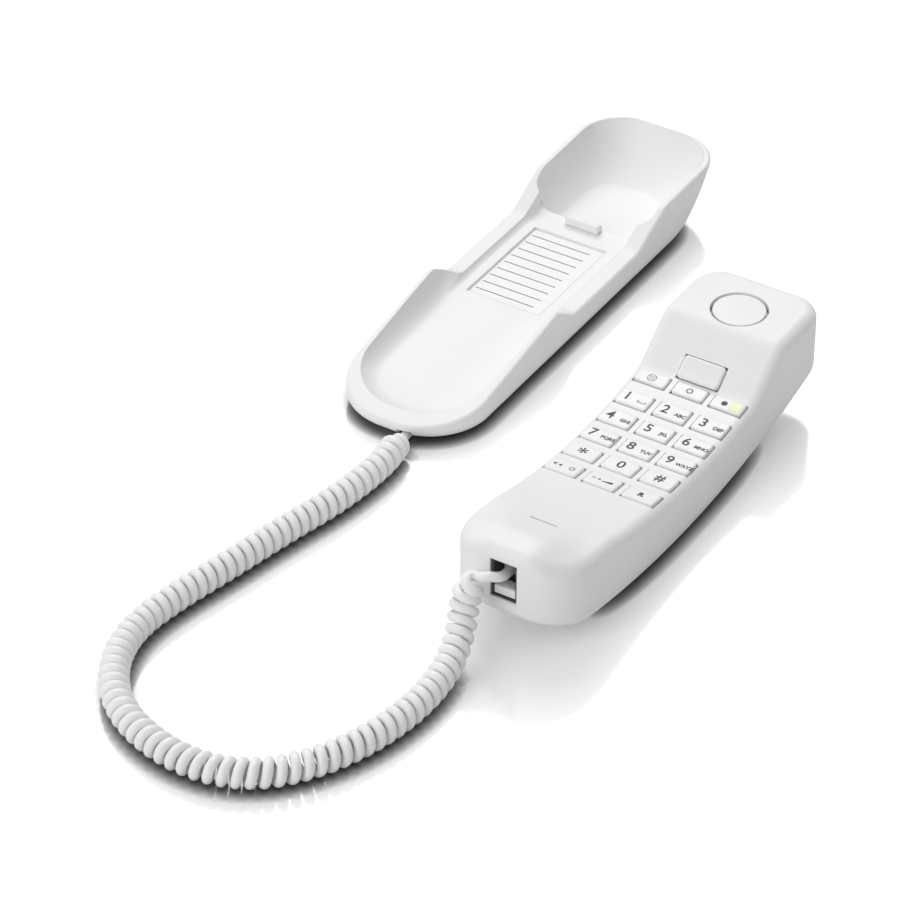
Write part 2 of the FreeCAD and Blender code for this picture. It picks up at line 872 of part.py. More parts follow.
def make_base_plate():
    body = new_body("plate_blank")
    sketch = new_sketch(body, "plate_outline", "XY_Plane", plate_low)
    rounded_outline(
        sketch, plate_width / 2, -plate_length / 2, plate_length / 2, size.plate_margin, size.plate_margin
    )
    pad(body, sketch, size.plate_thickness)
    place(body, 0.0, bay_middle, 0.0)
    deep = size.plate_thickness + BEYOND * 2
    tools = []
    for index, side in enumerate((-1, 1)):
        entry = bay_middle + size.keyhole_spacing / 2 * side - size.keyhole_reach / 2
        tools.append(disc(f"keyhole_entry_{index}", 0.0, entry, -BEYOND, size.keyhole_entry, deep))
        tools.append(disc(
            f"keyhole_end_{index}", 0.0, entry + size.keyhole_reach, -BEYOND, size.keyhole_slot, deep
        ))
        tools.append(box(
            f"keyhole_slot_{index}", -size.keyhole_slot, entry, -BEYOND,
            size.keyhole_slot * 2, size.keyhole_reach, deep,
        ))
    for index, (x, y) in enumerate(screw_places):
        tools.append(disc(f"plate_hole_{index}", x, y, -BEYOND, size.screw_radius + SLACK, deep))
        tools.append(disc(
            f"plate_sink_{index}", x, y, -BEYOND, size.screw_head_radius + SLACK * 2,
            BEYOND + size.foot_height + size.screw_head_depth,
        ))
    for index in range(SOUND_SLOTS):
        tools.append(centred_box(
            f"sound_slot_{index}", size.board_x + size.sound_slot_pitch * (index - SOUND_SLOTS // 2),
            bay_middle, -BEYOND, size.sound_slot_width, size.sound_slot_length, deep,
        ))
    tools.append(box(
        "plate_notch", -size.base_width, size.socket_place - size.socket_width / 2 - size.plate_gap, -BEYOND,
        size.base_width + socket_front + size.socket_depth + size.plate_gap,
        size.socket_width + size.plate_gap * 2, deep,
    ))
    return cut("plate", body, tools)


def make_screw(name, x, y, low, length):
    """A screw that points up, with its head at low."""
    head = disc(f"{name}_head", x, y, low, size.screw_head_radius, size.screw_head_depth)
    shank = disc(f"{name}_shank", x, y, low, size.screw_radius, length)
    return fuse(name, [head, shank])


def make_socket():
    blank = box(
        "socket_blank", socket_front, size.socket_place - size.socket_width / 2, size.socket_low,
        size.socket_depth, size.socket_width, size.socket_height,
    )
    floor = size.socket_low + (size.socket_height - size.socket_mouth_height) / 2
    mouth = box(
        "socket_mouth", socket_front - BEYOND, size.socket_place - size.socket_mouth_width / 2, floor,
        size.socket_mouth_depth + BEYOND, size.socket_mouth_width, size.socket_mouth_height,
    )
    latch_width = size.socket_mouth_width / 3
    latch_depth = 0.4
    latch = box(
        "socket_latch", socket_front - BEYOND, size.socket_place - latch_width / 2, floor - latch_depth,
        size.socket_mouth_depth / 2 + BEYOND, latch_width, size.socket_mouth_height,
    )
    return cut("socket", blank, [mouth, latch])


def make_plug(name, x, rear, middle):
    """A cord plug that points to +Y: a tapered nose, a body and a spring latch below it."""
    body = new_body(f"{name}_blank")
    sketch = new_sketch(body, f"{name}_profile", "YZ_Plane")
    half = size.plug_height / 2
    nose = 1.2
    latch = 1.6
    closed_profile(sketch, [
        (0.0, -half), (size.plug_length - nose, -half), (size.plug_length, nose - half),
        (size.plug_length, half - nose / 2), (size.plug_length - nose, half), (latch, half),
        (0.0, half - latch / 2),
    ])
    pad(body, sketch, size.plug_width, symmetric=True)
    return place(body, x, rear, middle)


def make_base_jack():
    blank = box(
        "base_jack_blank", size.base_jack_x - jack_half, -size.base_jack_front, size.foot_height,
        jack_half * 2, size.base_jack_depth, jack_height,
    )
    bore = box(
        "base_jack_bore", size.base_jack_x - size.plug_width / 2 - size.plug_gap,
        -size.base_jack_front - BEYOND, plug_middle - size.plug_height / 2 - size.plug_gap,
        size.plug_width + size.plug_gap * 2,
        size.plug_length - size.base_plug_out + size.plug_gap + BEYOND,
        size.plug_height + size.plug_gap * 2,
    )
    return cut("base_jack", blank, [bore])


def make_hook_tab():
    body = new_body("tab")
    sketch = new_sketch(body, "tab_profile", "YZ_Plane")
    half = size.tab_thickness / 2
    chamfer = 0.8
    closed_profile(sketch, [
        (-half, 0.0), (half, 0.0), (half, size.tab_height - chamfer), (half - chamfer, size.tab_height),
        (-half, size.tab_height),
    ])
    pad(body, sketch, size.tab_width, symmetric=True)
    return place(body, 0.0, size.tab_place, tab_low)


node(make_base_plate(), "base_plate")
node(group("feet", [
    disc(f"foot_{index}", x, y, 0.0, size.foot_radius, size.foot_thickness)
    for index, (x, y) in enumerate(foot_places)
]), "base_feet")
node(group("plate_screws", [
    make_screw(f"plate_screw_{index}", x, y, size.foot_height, size.screw_length)
    for index, (x, y) in enumerate(screw_places)
]), "base_screws")
node(box(
    "board", size.board_x - size.board_width / 2, board_front, size.board_height,
    size.board_width, board_length, size.board_thickness,
), "base_circuit_board")
node(disc(
    "ringer_disc", size.board_x, bay_middle, plate_top, size.ringer_radius, size.ringer_thickness
), "ringer")
node(make_socket(), "line_socket")
node(make_base_jack(), "base_cord_jack")
node(make_hook_tab(), "hook_tab")
card_low = size.neck_floor - size.window_thickness - size.card_thickness
node(centred_box(
    "card", 0.0, size.card_place, card_low, size.card_width, size.card_length, size.card_thickness
), "directory_card")
window_gap = 0.15
node(centred_box(
    "window", 0.0, size.card_place, card_low + size.card_thickness,
    size.card_width + (size.window_margin - window_gap) * 2,
    size.card_length + (size.window_margin - window_gap) * 2, size.window_thickness,
), "card_window")
node(make_plug("base_plug", size.base_jack_x, base_plug_rear, plug_middle), "plug_base")

# Handset, in its own axes: the middle of the keypad face is above its origin

half_handset = size.handset_width / 2


def back_height(y, inside=0.0):
    """Height of the back of the handset, or of a surface inside it."""
    radius = size.back_radius - inside
    reach = y + size.back_low_place
    return size.back_radius - root(radius * radius - reach * reach)


def face_surface(y, inside=0.0):
    """Height of the concave face, or of a surface inside it, or above it when negative."""
    radius = size.face_radius + inside
    return size.face_height + size.face_radius - root(radius * radius - y * y)


slope_run = size.slope_top_place - size.slope_foot_place
slope_rise = size.ear_height - face_surface(size.slope_foot_place)
slope_length = root(slope_run * slope_run + slope_rise * slope_rise)
half_tangent = (slope_length - slope_run) / slope_rise
slope_tilt = slope_angle(slope_rise, slope_run)


def make_handset_side(name, inside=0.0):
    """Side view of the handset, or of the room inside its wall, across its whole width."""
    body = new_body(name)
    sketch = new_sketch(body, f"{name}_profile", "YZ_Plane")
    front = inside - size.mouth_end
    back = size.ear_end - inside
    foot_y = size.slope_foot_place + half_tangent * inside
    top_y = size.slope_top_place + half_tangent * inside
    mouth_y = -size.mouth_top_place
    foot = (foot_y, face_surface(foot_y, inside))
    top = (top_y, size.ear_height - inside)
    mouth = (mouth_y, face_surface(mouth_y, inside))
    closed_profile(sketch, [
        (front, back_height(front, inside), size.back_radius - inside),
        (back, back_height(back, inside)),
        (back, size.ear_height - inside),
        top,
        (*foot, -(size.face_radius + inside)),
        mouth,
        (front, size.mouth_end_height - inside),
    ])
    feature = pad(body, sketch, size.handset_width * 2, symmetric=True)
    feature = round_edges(body, feature, size.slope_foot_round, crosses(foot))
    feature = round_edges(body, feature, size.slope_top_round, crosses(top))
    round_edges(body, feature, size.mouth_top_round, crosses(mouth))
    return body


def make_handset_plan(name, inside=0.0):
    """Plan view of the handset, or of the room inside its wall, at all heights."""
    body = new_body(name)
    sketch = new_sketch(body, f"{name}_outline", "XY_Plane", -10.0)
    rounded_outline(
        sketch, half_handset - inside, inside - size.mouth_end, size.ear_end - inside,
        size.mouth_corner - inside, size.ear_corner - inside,
    )
    pad(body, sketch, size.ear_height * 2)
    return body


def make_handset_solid(name, inside=0.0):
    """Side view and plan view in common, with rounded edges along the face and the back."""
    side = make_handset_side(f"{name}_side", inside)
    plan = make_handset_plan(f"{name}_plan", inside)
    blank = common(f"{name}_blank", [side, plan])
    doc.recompute()

    def on_outline(edge):
        return edge.Length > 0.01 and lies_on(edge, side) and lies_on(edge, plan)

    def along_face(edge):
        middle = edge.BoundBox.Center
        return on_outline(edge) and middle.z > FACE_SIDE_SPLIT and not upright(edge)

    def along_back(edge):
        middle = edge.BoundBox.Center
        return on_outline(edge) and middle.z < FACE_SIDE_SPLIT and not upright(edge)

    faced = blend_edges(f"{name}_faced", blank, size.face_edge_round - inside, along_face)
    return blend_edges(f"{name}_rounded", faced, size.back_edge_round - inside, along_back)


handset_outside = make_handset_solid("handset_outside")
handset_inside = make_handset_solid("handset_inside", size.handset_wall)


def make_back_half():
    """All that lies below the line where the two shells of the handset meet."""
    body = new_body("back_half")
    sketch = new_sketch(body, "parting_profile", "YZ_Plane")
    front = -size.mouth_end - BEYOND
    back = size.ear_end + BEYOND
    low = -size.ear_height
    closed_profile(sketch, [
        (front, low),
        (back, low),
        (back, back_height(back, size.parting_height), -(size.back_radius - size.parting_height)),
        (front, back_height(front, size.parting_height)),
    ])
    pad(body, sketch, size.handset_width * 2, symmetric=True)
    return body


handset_shell = cut("handset_shell", handset_outside, [handset_inside])
back_half = make_back_half()

# Keypad: every row has its place along the handset, its key length and its names
dial_rows = [
    (size.row_one - size.row_pitch * index, size.key_length, names) for index, names in enumerate(DIAL_KEYS)
]
key_rows = [(size.row_top, size.top_key_length, TOP_KEYS)] + dial_rows + [
    (-size.row_bottom, size.key_length, BOTTOM_KEYS)
]
keys = [
    (name, size.key_pitch_across * (column - 1), y, length)
    for y, length, names in key_rows
    for column, name in enumerate(names)
]
mat_low = size.mat_height - size.mat_thickness
key_low = size.mat_height + size.key_travel + size.flange_gap
mat_back = size.row_top + size.top_key_length / 2 + size.mat_margin
mat_front = -(size.row_bottom + size.key_length / 2 + size.mat_margin)
board_ends = (mat_front - size.handset_board_margin, mat_back + size.handset_board_margin)


def face_block(body, name, y, length, width, low, inside):
    """A block across the handset whose top follows the concave face."""
    sketch = new_sketch(body, name, "YZ_Plane")
    front, back = y - length / 2, y + length / 2
    closed_profile(sketch, [
        (front, low),
        (back, low),
        (back, face_surface(back, inside), -(size.face_radius + inside)),
        (front, face_surface(front, inside)),
    ])
    return pad(body, sketch, width, symmetric=True)


def make_key(name, y, length):
    """A key cap with a flange that stops below the face."""
    body = new_body(f"key_{name}_body")
    flange = size.handset_wall + size.flange_gap
    face_block(
        body, f"key_{name}_flange", y, length + size.flange_margin * 2,
        size.key_width - size.flange_inset * 2, key_low, flange,
    )
    feature = face_block(body, f"key_{name}_cap", y, length, size.key_width, key_low, -size.key_proud)
    corner_x = SIZES["key_width"] / 2
    feature = round_edges(
        body, feature, size.key_corner,
        lambda edge: upright(edge) and abs(abs(edge.BoundBox.Center.x) - corner_x) < 0.01,
    )
    top = face_surface(y - length / 2, -size.key_proud)
    other = face_surface(y + length / 2, -size.key_proud)
    lowest = min(top.value, other.value) - 0.4
    round_edges(body, feature, size.key_edge, lambda edge: edge.BoundBox.ZMin > lowest)
    return body


handset_screws = [-size.front_screw_place, size.rear_screw_place]
mic_y = -size.mic_place


def holder(name, y, radius, low, high):
    """A ring inside the front shell that holds a round piece."""
    ring = disc(f"{name}_ring", 0.0, y, low, radius + size.holder_gap + size.holder_wall, high - low)
    hole = disc(f"{name}_hole", 0.0, y, low - BEYOND, radius + size.holder_gap, high - low + BEYOND * 2)
    return cut(f"{name}_holder", ring, [hole])


def slope_frame(thing, along, out):
    """Set a piece on the slope of the ear head: along the slope from its foot, out from its face."""
    sine = slope_rise / slope_length
    cosine = slope_run / slope_length
    y = size.slope_foot_place + along * cosine - out * sine
    z = face_surface(size.slope_foot_place) + along * sine + out * cosine
    turn(thing, Vector(1, 0, 0), slope_tilt)
    return y, z


def make_button():
    """Hook button: a rounded cap with a flange, drawn flat and then set on the slope."""
    body = new_body("button")
    flange_low = 0.0
    flange_top = size.button_height - size.button_proud - size.handset_wall - size.flange_gap
    sketch = new_sketch(body, "button_flange", "XY_Plane", flange_low)
    half_width, half_length_ = size.button_width / 2, size.button_length / 2
    margin = size.flange_margin
    rounded_outline(
        sketch, half_width + margin, -half_length_ - margin, half_length_ + margin,
        size.button_corner, size.button_corner,
    )
    pad(body, sketch, flange_top)
    sketch = new_sketch(body, "button_cap", "XY_Plane", flange_low)
    rounded_outline(
        sketch, half_width, -half_length_, half_length_, size.button_corner, size.button_corner
    )
    feature = pad(body, sketch, size.button_height)
    high = SIZES["button_height"] - 0.01
    round_edges(body, feature, size.key_edge * 1.6, lambda edge: edge.BoundBox.ZMin > high)
    return body


button = make_button()
button_low = size.button_proud - size.button_height
button_y, button_z = slope_frame(button, size.button_place, button_low)
button_hole = centred_box(
    "button_hole", 0.0, 0.0, 0.0, size.button_width + size.key_gap * 2,
    size.button_length + size.key_gap * 2, size.button_height * 2,
)
hole_y, hole_z = slope_frame(button_hole, size.button_place, -size.handset_wall - 0.2)
hole_along = (size.button_length / 2 + size.key_gap)
place(
    button_hole, -(size.button_width / 2 + size.key_gap),
    hole_y - hole_along * slope_run / slope_length, hole_z - hole_along * slope_rise / slope_length,
)


def outer_height(y):
    """Height of the face, or of the slope behind it."""
    if y.value < SIZES["slope_foot_place"]:
        return face_surface(y)
    return face_surface(size.slope_foot_place) + (y - size.slope_foot_place) * slope_rise / slope_run


def post_top(y, radius):
    """Height at which a post of this radius ends inside the wall of the face."""
    before, after = outer_height(y - radius), outer_height(y + radius)
    return (before if before.value < after.value else after) - INTO_WALL


# Front shell
front_blank = cut("front_blank", handset_shell, [back_half])
ear_inside = size.ear_height - size.handset_wall
disc_low = ear_inside - size.ear_flange_gap - size.ear_flange_thickness
receiver_low = disc_low - size.receiver_height
mic_top = face_surface(mic_y) - size.handset_wall - 2.0
mic_low = mic_top - size.mic_height
front_added = [
    holder("ear", size.ear_place, size.ear_flange_radius, receiver_low + 2.0, ear_inside + 0.5),
    holder(
        "mic", mic_y, size.mic_radius, mic_low + 1.0,
        post_top(mic_y, size.mic_radius + size.holder_gap + size.holder_wall),
    ),
]
for index, y in enumerate(handset_screws):
    low = back_height(y, size.parting_height)
    high = post_top(y, size.tower_radius)
    front_added.append(disc(f"tower_{index}", 0.0, y, low, size.tower_radius, high - low))
board_post_x = size.handset_board_width / 2 - size.handset_post_inset
post_places = {
    "front": board_ends[0] + size.handset_post_inset,
    "rear": board_ends[1] - size.handset_post_inset,
}
for along, y in post_places.items():
    for side in (-1, 1):
        front_added.append(disc(
            f"{along}_post_{side + 1}", board_post_x * side, y, mat_low, size.handset_post_radius,
            post_top(y, size.handset_post_radius) - mat_low,
        ))
openings = [
    centred_box(
        f"opening_{name}", x, y, key_low, size.key_width + size.key_gap * 2, length + size.key_gap * 2,
        size.ear_height - key_low,
    )
    for name, x, y, length in keys
]
openings.append(button_hole)
openings.append(disc(
    "ear_opening", 0.0, size.ear_place, disc_low, size.ear_disc_radius + size.ear_ring_gap, size.ear_height
))
openings.append(centred_box(
    "mic_slit", 0.0, mic_y, mic_top, size.mic_slit_length, size.mic_slit_width, size.ear_height
))
openings.append(centred_box(
    "cord_hole", 0.0, -size.mouth_end, size.hole_low, size.hole_width, size.handset_wall * 4,
    size.hole_height,
))
for index, y in enumerate(handset_screws):
    low = back_height(y) + size.handset_screw_depth
    openings.append(disc(
        f"tower_hole_{index}", 0.0, y, low, size.screw_radius + SLACK / 2, size.handset_screw_length + SLACK
    ))
front_full = fuse("front_full", [front_blank] + front_added)
front = node(cut("front", front_full, openings), "handset_front")

# Back shell
back_blank = common("back_blank", [handset_shell, back_half])
back_bosses = []
back_sinks = []
for index, y in enumerate(handset_screws):
    low = back_height(y)
    back_bosses.append(disc(
        f"boss_{index}", 0.0, y, low + INTO_WALL, size.tower_radius,
        back_height(y, size.parting_height) - low - INTO_WALL,
    ))
    sink = size.screw_head_depth + size.handset_screw_depth
    back_sinks.append(disc(
        f"sink_{index}", 0.0, y, low - BEYOND, size.screw_head_radius + SLACK * 2, sink + BEYOND
    ))
    back_sinks.append(disc(
        f"clear_{index}", 0.0, y, low - BEYOND, size.screw_radius + SLACK, size.ear_height
    ))
back = node(cut("back", fuse("back_full", [back_blank] + back_bosses), back_sinks), "handset_back")

# What the handset holds
lens_x = size.key_pitch_across + size.key_width / 2 - size.lens_width / 2 - size.lens_margin
inner = [
    node(group("screws", [
        make_screw(
            f"handset_screw_{index}", 0.0, y, back_height(y) + size.handset_screw_depth,
            size.handset_screw_length,
        )
        for index, y in enumerate(handset_screws)
    ]), "handset_screws"),
    node(cut(
        "mat",
        box(
            "mat_blank", -size.mat_width / 2, mat_front, mat_low, size.mat_width,
            mat_back - mat_front, size.mat_thickness,
        ),
        [disc(
            "mat_hole", lens_x, size.row_top, mat_low - BEYOND, size.lamp_radius + size.holder_gap,
            BEYOND * 2,
        )],
    ), "keypad_mat"),
]
node(box(
    "keypad_board", size.handset_x - size.handset_board_width / 2, size.handset_y + board_ends[0],
    mat_low - size.board_thickness, size.handset_board_width, board_ends[1] - board_ends[0],
    size.board_thickness,
), "handset_circuit_board")
node(disc(
    "lamp", size.handset_x + lens_x, size.handset_y + size.row_top, mat_low,
    size.lamp_radius, size.lamp_height,
), "message_lamp")
node(centred_box(
    "switch", size.handset_x, size.handset_y + board_ends[1] - size.switch_inset, mat_low,
    size.switch_width, size.switch_length, size.switch_height,
), "hook_switch")


def turned(name, profile):
    """A round piece from its half section, given as (radius, height) corners."""
    body = new_body(name)
    sketch = new_sketch(body, f"{name}_section", "XZ_Plane")
    closed_profile(sketch, profile)
    feature = body.newObject("PartDesign::Revolution", f"{name}_turned")
    feature.Profile = sketch
    feature.ReferenceAxis = (sketch, ["V_Axis"])
    feature.Angle = 360.0
    return body


crown_chord = size.ear_disc_radius * size.ear_disc_radius + size.ear_crown * size.ear_crown
crown_radius = crown_chord / (size.ear_crown * 2)
ear_disc = turned("ear_disc", [
    (0.0, disc_low),
    (size.ear_flange_radius, disc_low),
    (size.ear_flange_radius, disc_low + size.ear_flange_thickness),
    (size.ear_disc_radius, disc_low + size.ear_flange_thickness),
    (size.ear_disc_radius, size.ear_height - size.ear_crown, crown_radius),
    (0.0, size.ear_height),
])
receiver = turned("receiver", [
    (0.0, receiver_low),
    (size.receiver_radius * 0.6, receiver_low),
    (size.receiver_radius * 0.6, receiver_low + size.receiver_height * 0.45),
    (size.receiver_radius, receiver_low + size.receiver_height * 0.55),
    (size.receiver_radius, disc_low),
    (0.0, disc_low),
])
microphone = turned("mic_capsule", [
    (0.0, mic_low),
    (size.mic_radius - 0.4, mic_low),
    (size.mic_radius, mic_low + 0.4),
    (size.mic_radius, mic_top - 0.2),
    (0.0, mic_top - 0.2),
])
inner.append(node(ear_disc, "earpiece_disc"))
inner.append(node(receiver, "earpiece_receiver"))
inner.append(node(microphone, "microphone"))
round_places = {"earpiece_disc": size.ear_place, "earpiece_receiver": size.ear_place, "microphone": mic_y}


def make_handset_jack():
    """Socket in the mouth end: a wide mouth, then a bore for the plug."""
    clear = 0.1
    front_y = size.jack_setback - size.mouth_end
    blank = centred_box(
        "handset_jack_blank", 0.0, front_y + size.jack_depth / 2, size.hole_low + clear,
        size.hole_width - clear * 2, size.jack_depth, size.hole_height - clear * 2,
    )
    mouth_depth = size.handset_plug_back - size.jack_setback + 1.0
    lining = 0.9
    mouth = centred_box(
        "handset_jack_mouth", 0.0, front_y, size.hole_low + lining,
        size.hole_width - lining * 2, mouth_depth * 2, size.hole_height - lining * 2,
    )
    bore = centred_box(
        "handset_jack_bore", 0.0, size.handset_plug_back - size.mouth_end,
        size.handset_plug_height - size.plug_height / 2 - size.plug_gap,
        size.plug_width + size.plug_gap * 2, (size.plug_length + size.plug_gap) * 2,
        size.plug_height + size.plug_gap * 2,
    )
    return cut("handset_cord_jack", blank, [mouth, bore])


inner.append(node(make_handset_jack(), "handset_jack"))
plug_y = size.handset_y + size.handset_plug_back - size.mouth_end
node(make_plug("far_plug", size.handset_x, plug_y, size.handset_plug_height), "plug_handset")
node(place(button, size.handset_x, size.handset_y + button_y, button_z), "hook_button")

for thing in [front, back] + inner:
    place(thing, size.handset_x, size.handset_y + round_places.get(thing.Label, 0.0), 0.0)

for name, x, y, length in keys:
    body = make_key(name, y, length)
    if name == "message":
        lens = new_body("lens_block")
        lens_length = length - size.lens_margin * 2
        lens_low = face_surface(y, -size.key_proud) - size.lens_depth
        face_block(lens, "lens_profile", y, lens_length, size.lens_width, lens_low, -size.key_proud)
        seat = new_body("lens_seat")
        face_block(
            seat, "lens_seat_profile", y, lens_length, size.lens_width, lens_low, -size.key_proud - BEYOND
        )
        place(seat, lens_x - x, 0.0, 0.0)
        body = cut("message_key", body, [seat])
        node(place(lens, size.handset_x + lens_x, size.handset_y, 0.0), "message_lens")
    node(place(body, size.handset_x + x, size.handset_y, 0.0), f"key_{name}")


# Curly cord

class AxisPath:
    """Straight runs joined by tangent arcs, each arc as large as its two runs allow."""

    def __init__(self, points):
        points = [Vector(*point) for point in points]
        self.pieces = []
        self.radii = []
        start = points[0]
        for before, corner, after in zip(points, points[1:], points[2:]):
            incoming = (corner - before).normalize()
            outgoing = (after - corner).normalize()
            reach = RUN_SHARE * min((corner - before).Length, (after - corner).Length)
            half_turn = incoming.getAngle(outgoing) / 2
            radius = reach / math.tan(half_turn)
            self.radii.append(radius)
            enter = corner - incoming * reach
            self.add_line(start, enter)
            side = (outgoing - incoming * incoming.dot(outgoing)).normalize()
            self.pieces.append((radius * half_turn * 2, enter, incoming, side, radius))
            start = corner + outgoing * reach
        self.add_line(start, points[-1])
        self.length = sum(piece[0] for piece in self.pieces)

    def add_line(self, start, end):
        run = end - start
        self.pieces.append((run.Length, start, run.normalize(), None, 0.0))

    def at(self, distance):
        """Point and direction at a distance along the path."""
        for length, start, heading, side, radius in self.pieces:
            if distance <= length + END_TOLERANCE:
                break
            distance -= length
        distance = min(distance, length)
        if side is None:
            return start + heading * distance, heading
        angle = distance / radius
        point = start + heading * (radius * math.sin(angle)) + side * (radius * (1 - math.cos(angle)))
        return point, heading * math.cos(angle) + side * math.sin(angle)


def ease(share):
    share = min(max(share, 0.0), 1.0)
    return share * share * (3 - 2 * share)


def curl_stations(path):
    """Points of the wire: straight tails, and half a turn from point to point in the curls."""
    full_radius = (SIZES["curl_outside"] - SIZES["cord_diameter"]) / 2
    full_rate = 2 * math.pi / SIZES["curl_pitch"]
    first, last = CURLS_START_AFTER, path.length - CURLS_STOP_BEFORE

    def curl_share(distance):
        return ease((distance - first) / CURL_LEAD) * ease((last - distance) / CURL_LEAD)

    def wire_point(distance, angle):
        centre, heading = path.at(distance)
        up = (Vector(0, 0, 1) - heading * heading.z).normalize()
        across = heading.cross(up)
        radius = full_radius * curl_share(distance)
        return centre + up * (radius * math.sin(angle)) + across * (radius * math.cos(angle))

    def turn_rate(distance):
        share = curl_share(distance)
        return LEAD_TURN_RATE + (full_rate - LEAD_TURN_RATE) * share * share

    stations = []
    tail_steps = round(first / TAIL_STEP)
    for index in range(tail_steps):
        stations.append(path.at(first * index / tail_steps))
    distance, angle, due = first, 0.0, 0.0
    turn_step = 2 * math.pi / STEPS_PER_TURN
    while distance < last:
        if angle >= due:
            step = AXIS_SAMPLE / 50
            rate = turn_rate(distance)
            ahead = wire_point(distance + step, angle + rate * step)
            behind = wire_point(distance - step, angle - rate * step)
            stations.append((wire_point(distance, angle), (ahead - behind).normalize()))
            due += turn_step
        angle += turn_rate(distance) * AXIS_SAMPLE
        distance += AXIS_SAMPLE
    far_steps = round(CURLS_STOP_BEFORE / TAIL_STEP)
    for index in range(far_steps + 1):
        stations.append(path.at(last + CURLS_STOP_BEFORE * index / far_steps))
    return stations, angle / (2 * math.pi)


def arc_edge(start, heading, end):
    """Arc that leaves start along heading and ends at end, or a straight edge where it is straight."""
    chord = end - start
    across = chord - heading * chord.dot(heading)
    if across.Length < 1e-4 * chord.Length:
        return Part.LineSegment(start, end).toShape(), float("inf")
    radius = chord.dot(chord) / (2 * across.Length)
    centre = start + across.normalize() * radius
    middle = (start + end) * 0.5 - centre
    return Part.Arc(start, centre + middle.normalize() * radius, end).toShape(), radius


def biarc(start, end):
    """Two arcs that join two points and keep the direction at both."""
    (p, tp), (q, tq) = start, end
    chord = q - p
    both = tp + tq
    spread = 2 * (1 - tp.dot(tq))
    along = chord.dot(both)
    if spread < 1e-9:
        reach = chord.dot(chord) / (2 * along)
    else:
        reach = (math.sqrt(along * along + spread * chord.dot(chord)) - along) / spread
    joint = (p + q + (tp - tq) * reach) * 0.5
    heading = (q - tq * reach) - (p + tp * reach)
    first = arc_edge(p, tp, joint)
    second = arc_edge(joint, heading.normalize(), q)
    return [first, second]


def least_gap(edges, diameter):
    """Least clear gap between stretches of the wire that aren't neighbours along it."""
    samples = []
    travelled = 0.0
    for edge in edges:
        for index in range(GAP_SAMPLES_PER_ARC):
            share = index / GAP_SAMPLES_PER_ARC
            first, last = edge.FirstParameter, edge.LastParameter
            samples.append((edge.valueAt(first + (last - first) * share), travelled + edge.Length * share))
        travelled += edge.Length
    cell = diameter * 2
    cells = {}
    least = cell
    for point, place_along in samples:
        home = tuple(int(math.floor(c / cell)) for c in point)
        for dx in (-1, 0, 1):
            for dy in (-1, 0, 1):
                for dz in (-1, 0, 1):
                    for other, along in cells.get((home[0] + dx, home[1] + dy, home[2] + dz), ()):
                        if place_along - along > diameter * 3:
                            least = min(least, (point - other).Length)
        cells.setdefault(home, []).append((point, place_along))
    return least - diameter, travelled


def make_cord():
    path = AxisPath(CORD_AXIS)
    print("axis length", round(path.length, 1), "least axis radius", round(min(path.radii), 1))
    stations, turns = curl_stations(path)
    arcs = [arc for start, end in zip(stations, stations[1:]) for arc in biarc(start, end)]
    edges = [edge for edge, _ in arcs]
    gap, length = least_gap(edges, SIZES["cord_diameter"])
    print("curls", round(turns, 1), "wire length", round(length, 1), "least wire radius",
          round(min(radius for _, radius in arcs), 2), "least gap", round(gap, 2))
    wire = Part.Wire(edges)
    start, heading = stations[0]
    section = Part.Wire([Part.Circle(start, heading, SIZES["cord_diameter"] / 2).toShape()])
    pipe = Part.BRepOffsetAPI.MakePipeShell(wire)
    pipe.add(section)
    pipe.build()
    pipe.makeSolid()
    thing = doc.addObject("Part::Feature", "cord")
    thing.Shape = pipe.shape()
    expected = math.pi * SIZES["cord_diameter"] ** 2 / 4 * length
    print("cord volume", round(thing.Shape.Volume), "section times length", round(expected))
    return thing


node(make_cord(), "curly_cord")

doc.recompute()
faults = [thing.Name for thing in doc.Objects if "Invalid" in thing.State or "Error" in thing.State]
faults += [thing.Label for thing in nodes if thing.Shape.isNull() or not thing.Shape.isValid()]
if faults:
    raise RuntimeError(f"These pieces failed: {faults}")
os.makedirs(PARTS_FOLDER, exist_ok=True)
for thing in nodes:
    thing.Shape.exportStep(os.path.join(PARTS_FOLDER, f"{thing.Label}.step"))
print(len(nodes), "nodes written")
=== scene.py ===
"""Studio scene of a corded desk phone, dressed around its packed construction.

Lengths are metres in the frame of the construction: the origin is on the table below the
middle of the cradle, +Y points to the ear end, +X to the handset and +Z up.
"""

from __future__ import annotations

import json
import logging
import math
from collections.abc import Callable
from dataclasses import dataclass, field
from enum import Enum

import bpy
from mathutils import Matrix, Vector

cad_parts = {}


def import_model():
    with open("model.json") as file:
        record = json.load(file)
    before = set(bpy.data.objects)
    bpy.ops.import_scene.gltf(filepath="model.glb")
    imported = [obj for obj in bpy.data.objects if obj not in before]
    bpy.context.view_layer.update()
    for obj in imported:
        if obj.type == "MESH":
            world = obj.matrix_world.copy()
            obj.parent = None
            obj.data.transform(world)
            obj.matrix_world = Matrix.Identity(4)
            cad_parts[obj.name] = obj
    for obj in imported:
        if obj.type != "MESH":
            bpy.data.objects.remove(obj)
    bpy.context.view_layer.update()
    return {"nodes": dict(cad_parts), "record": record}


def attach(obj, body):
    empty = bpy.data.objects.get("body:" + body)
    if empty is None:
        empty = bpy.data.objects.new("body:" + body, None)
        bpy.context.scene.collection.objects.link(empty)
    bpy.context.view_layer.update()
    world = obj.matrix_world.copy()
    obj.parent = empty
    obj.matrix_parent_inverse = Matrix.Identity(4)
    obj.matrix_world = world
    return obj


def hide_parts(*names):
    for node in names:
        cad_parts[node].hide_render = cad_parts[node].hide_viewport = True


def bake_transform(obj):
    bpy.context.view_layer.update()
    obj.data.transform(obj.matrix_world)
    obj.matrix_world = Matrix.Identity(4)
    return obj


LOG = logging.getLogger("corded_phone")
MM = 0.001
TINY = 0.01 * MM
CORNER_STEPS = 6
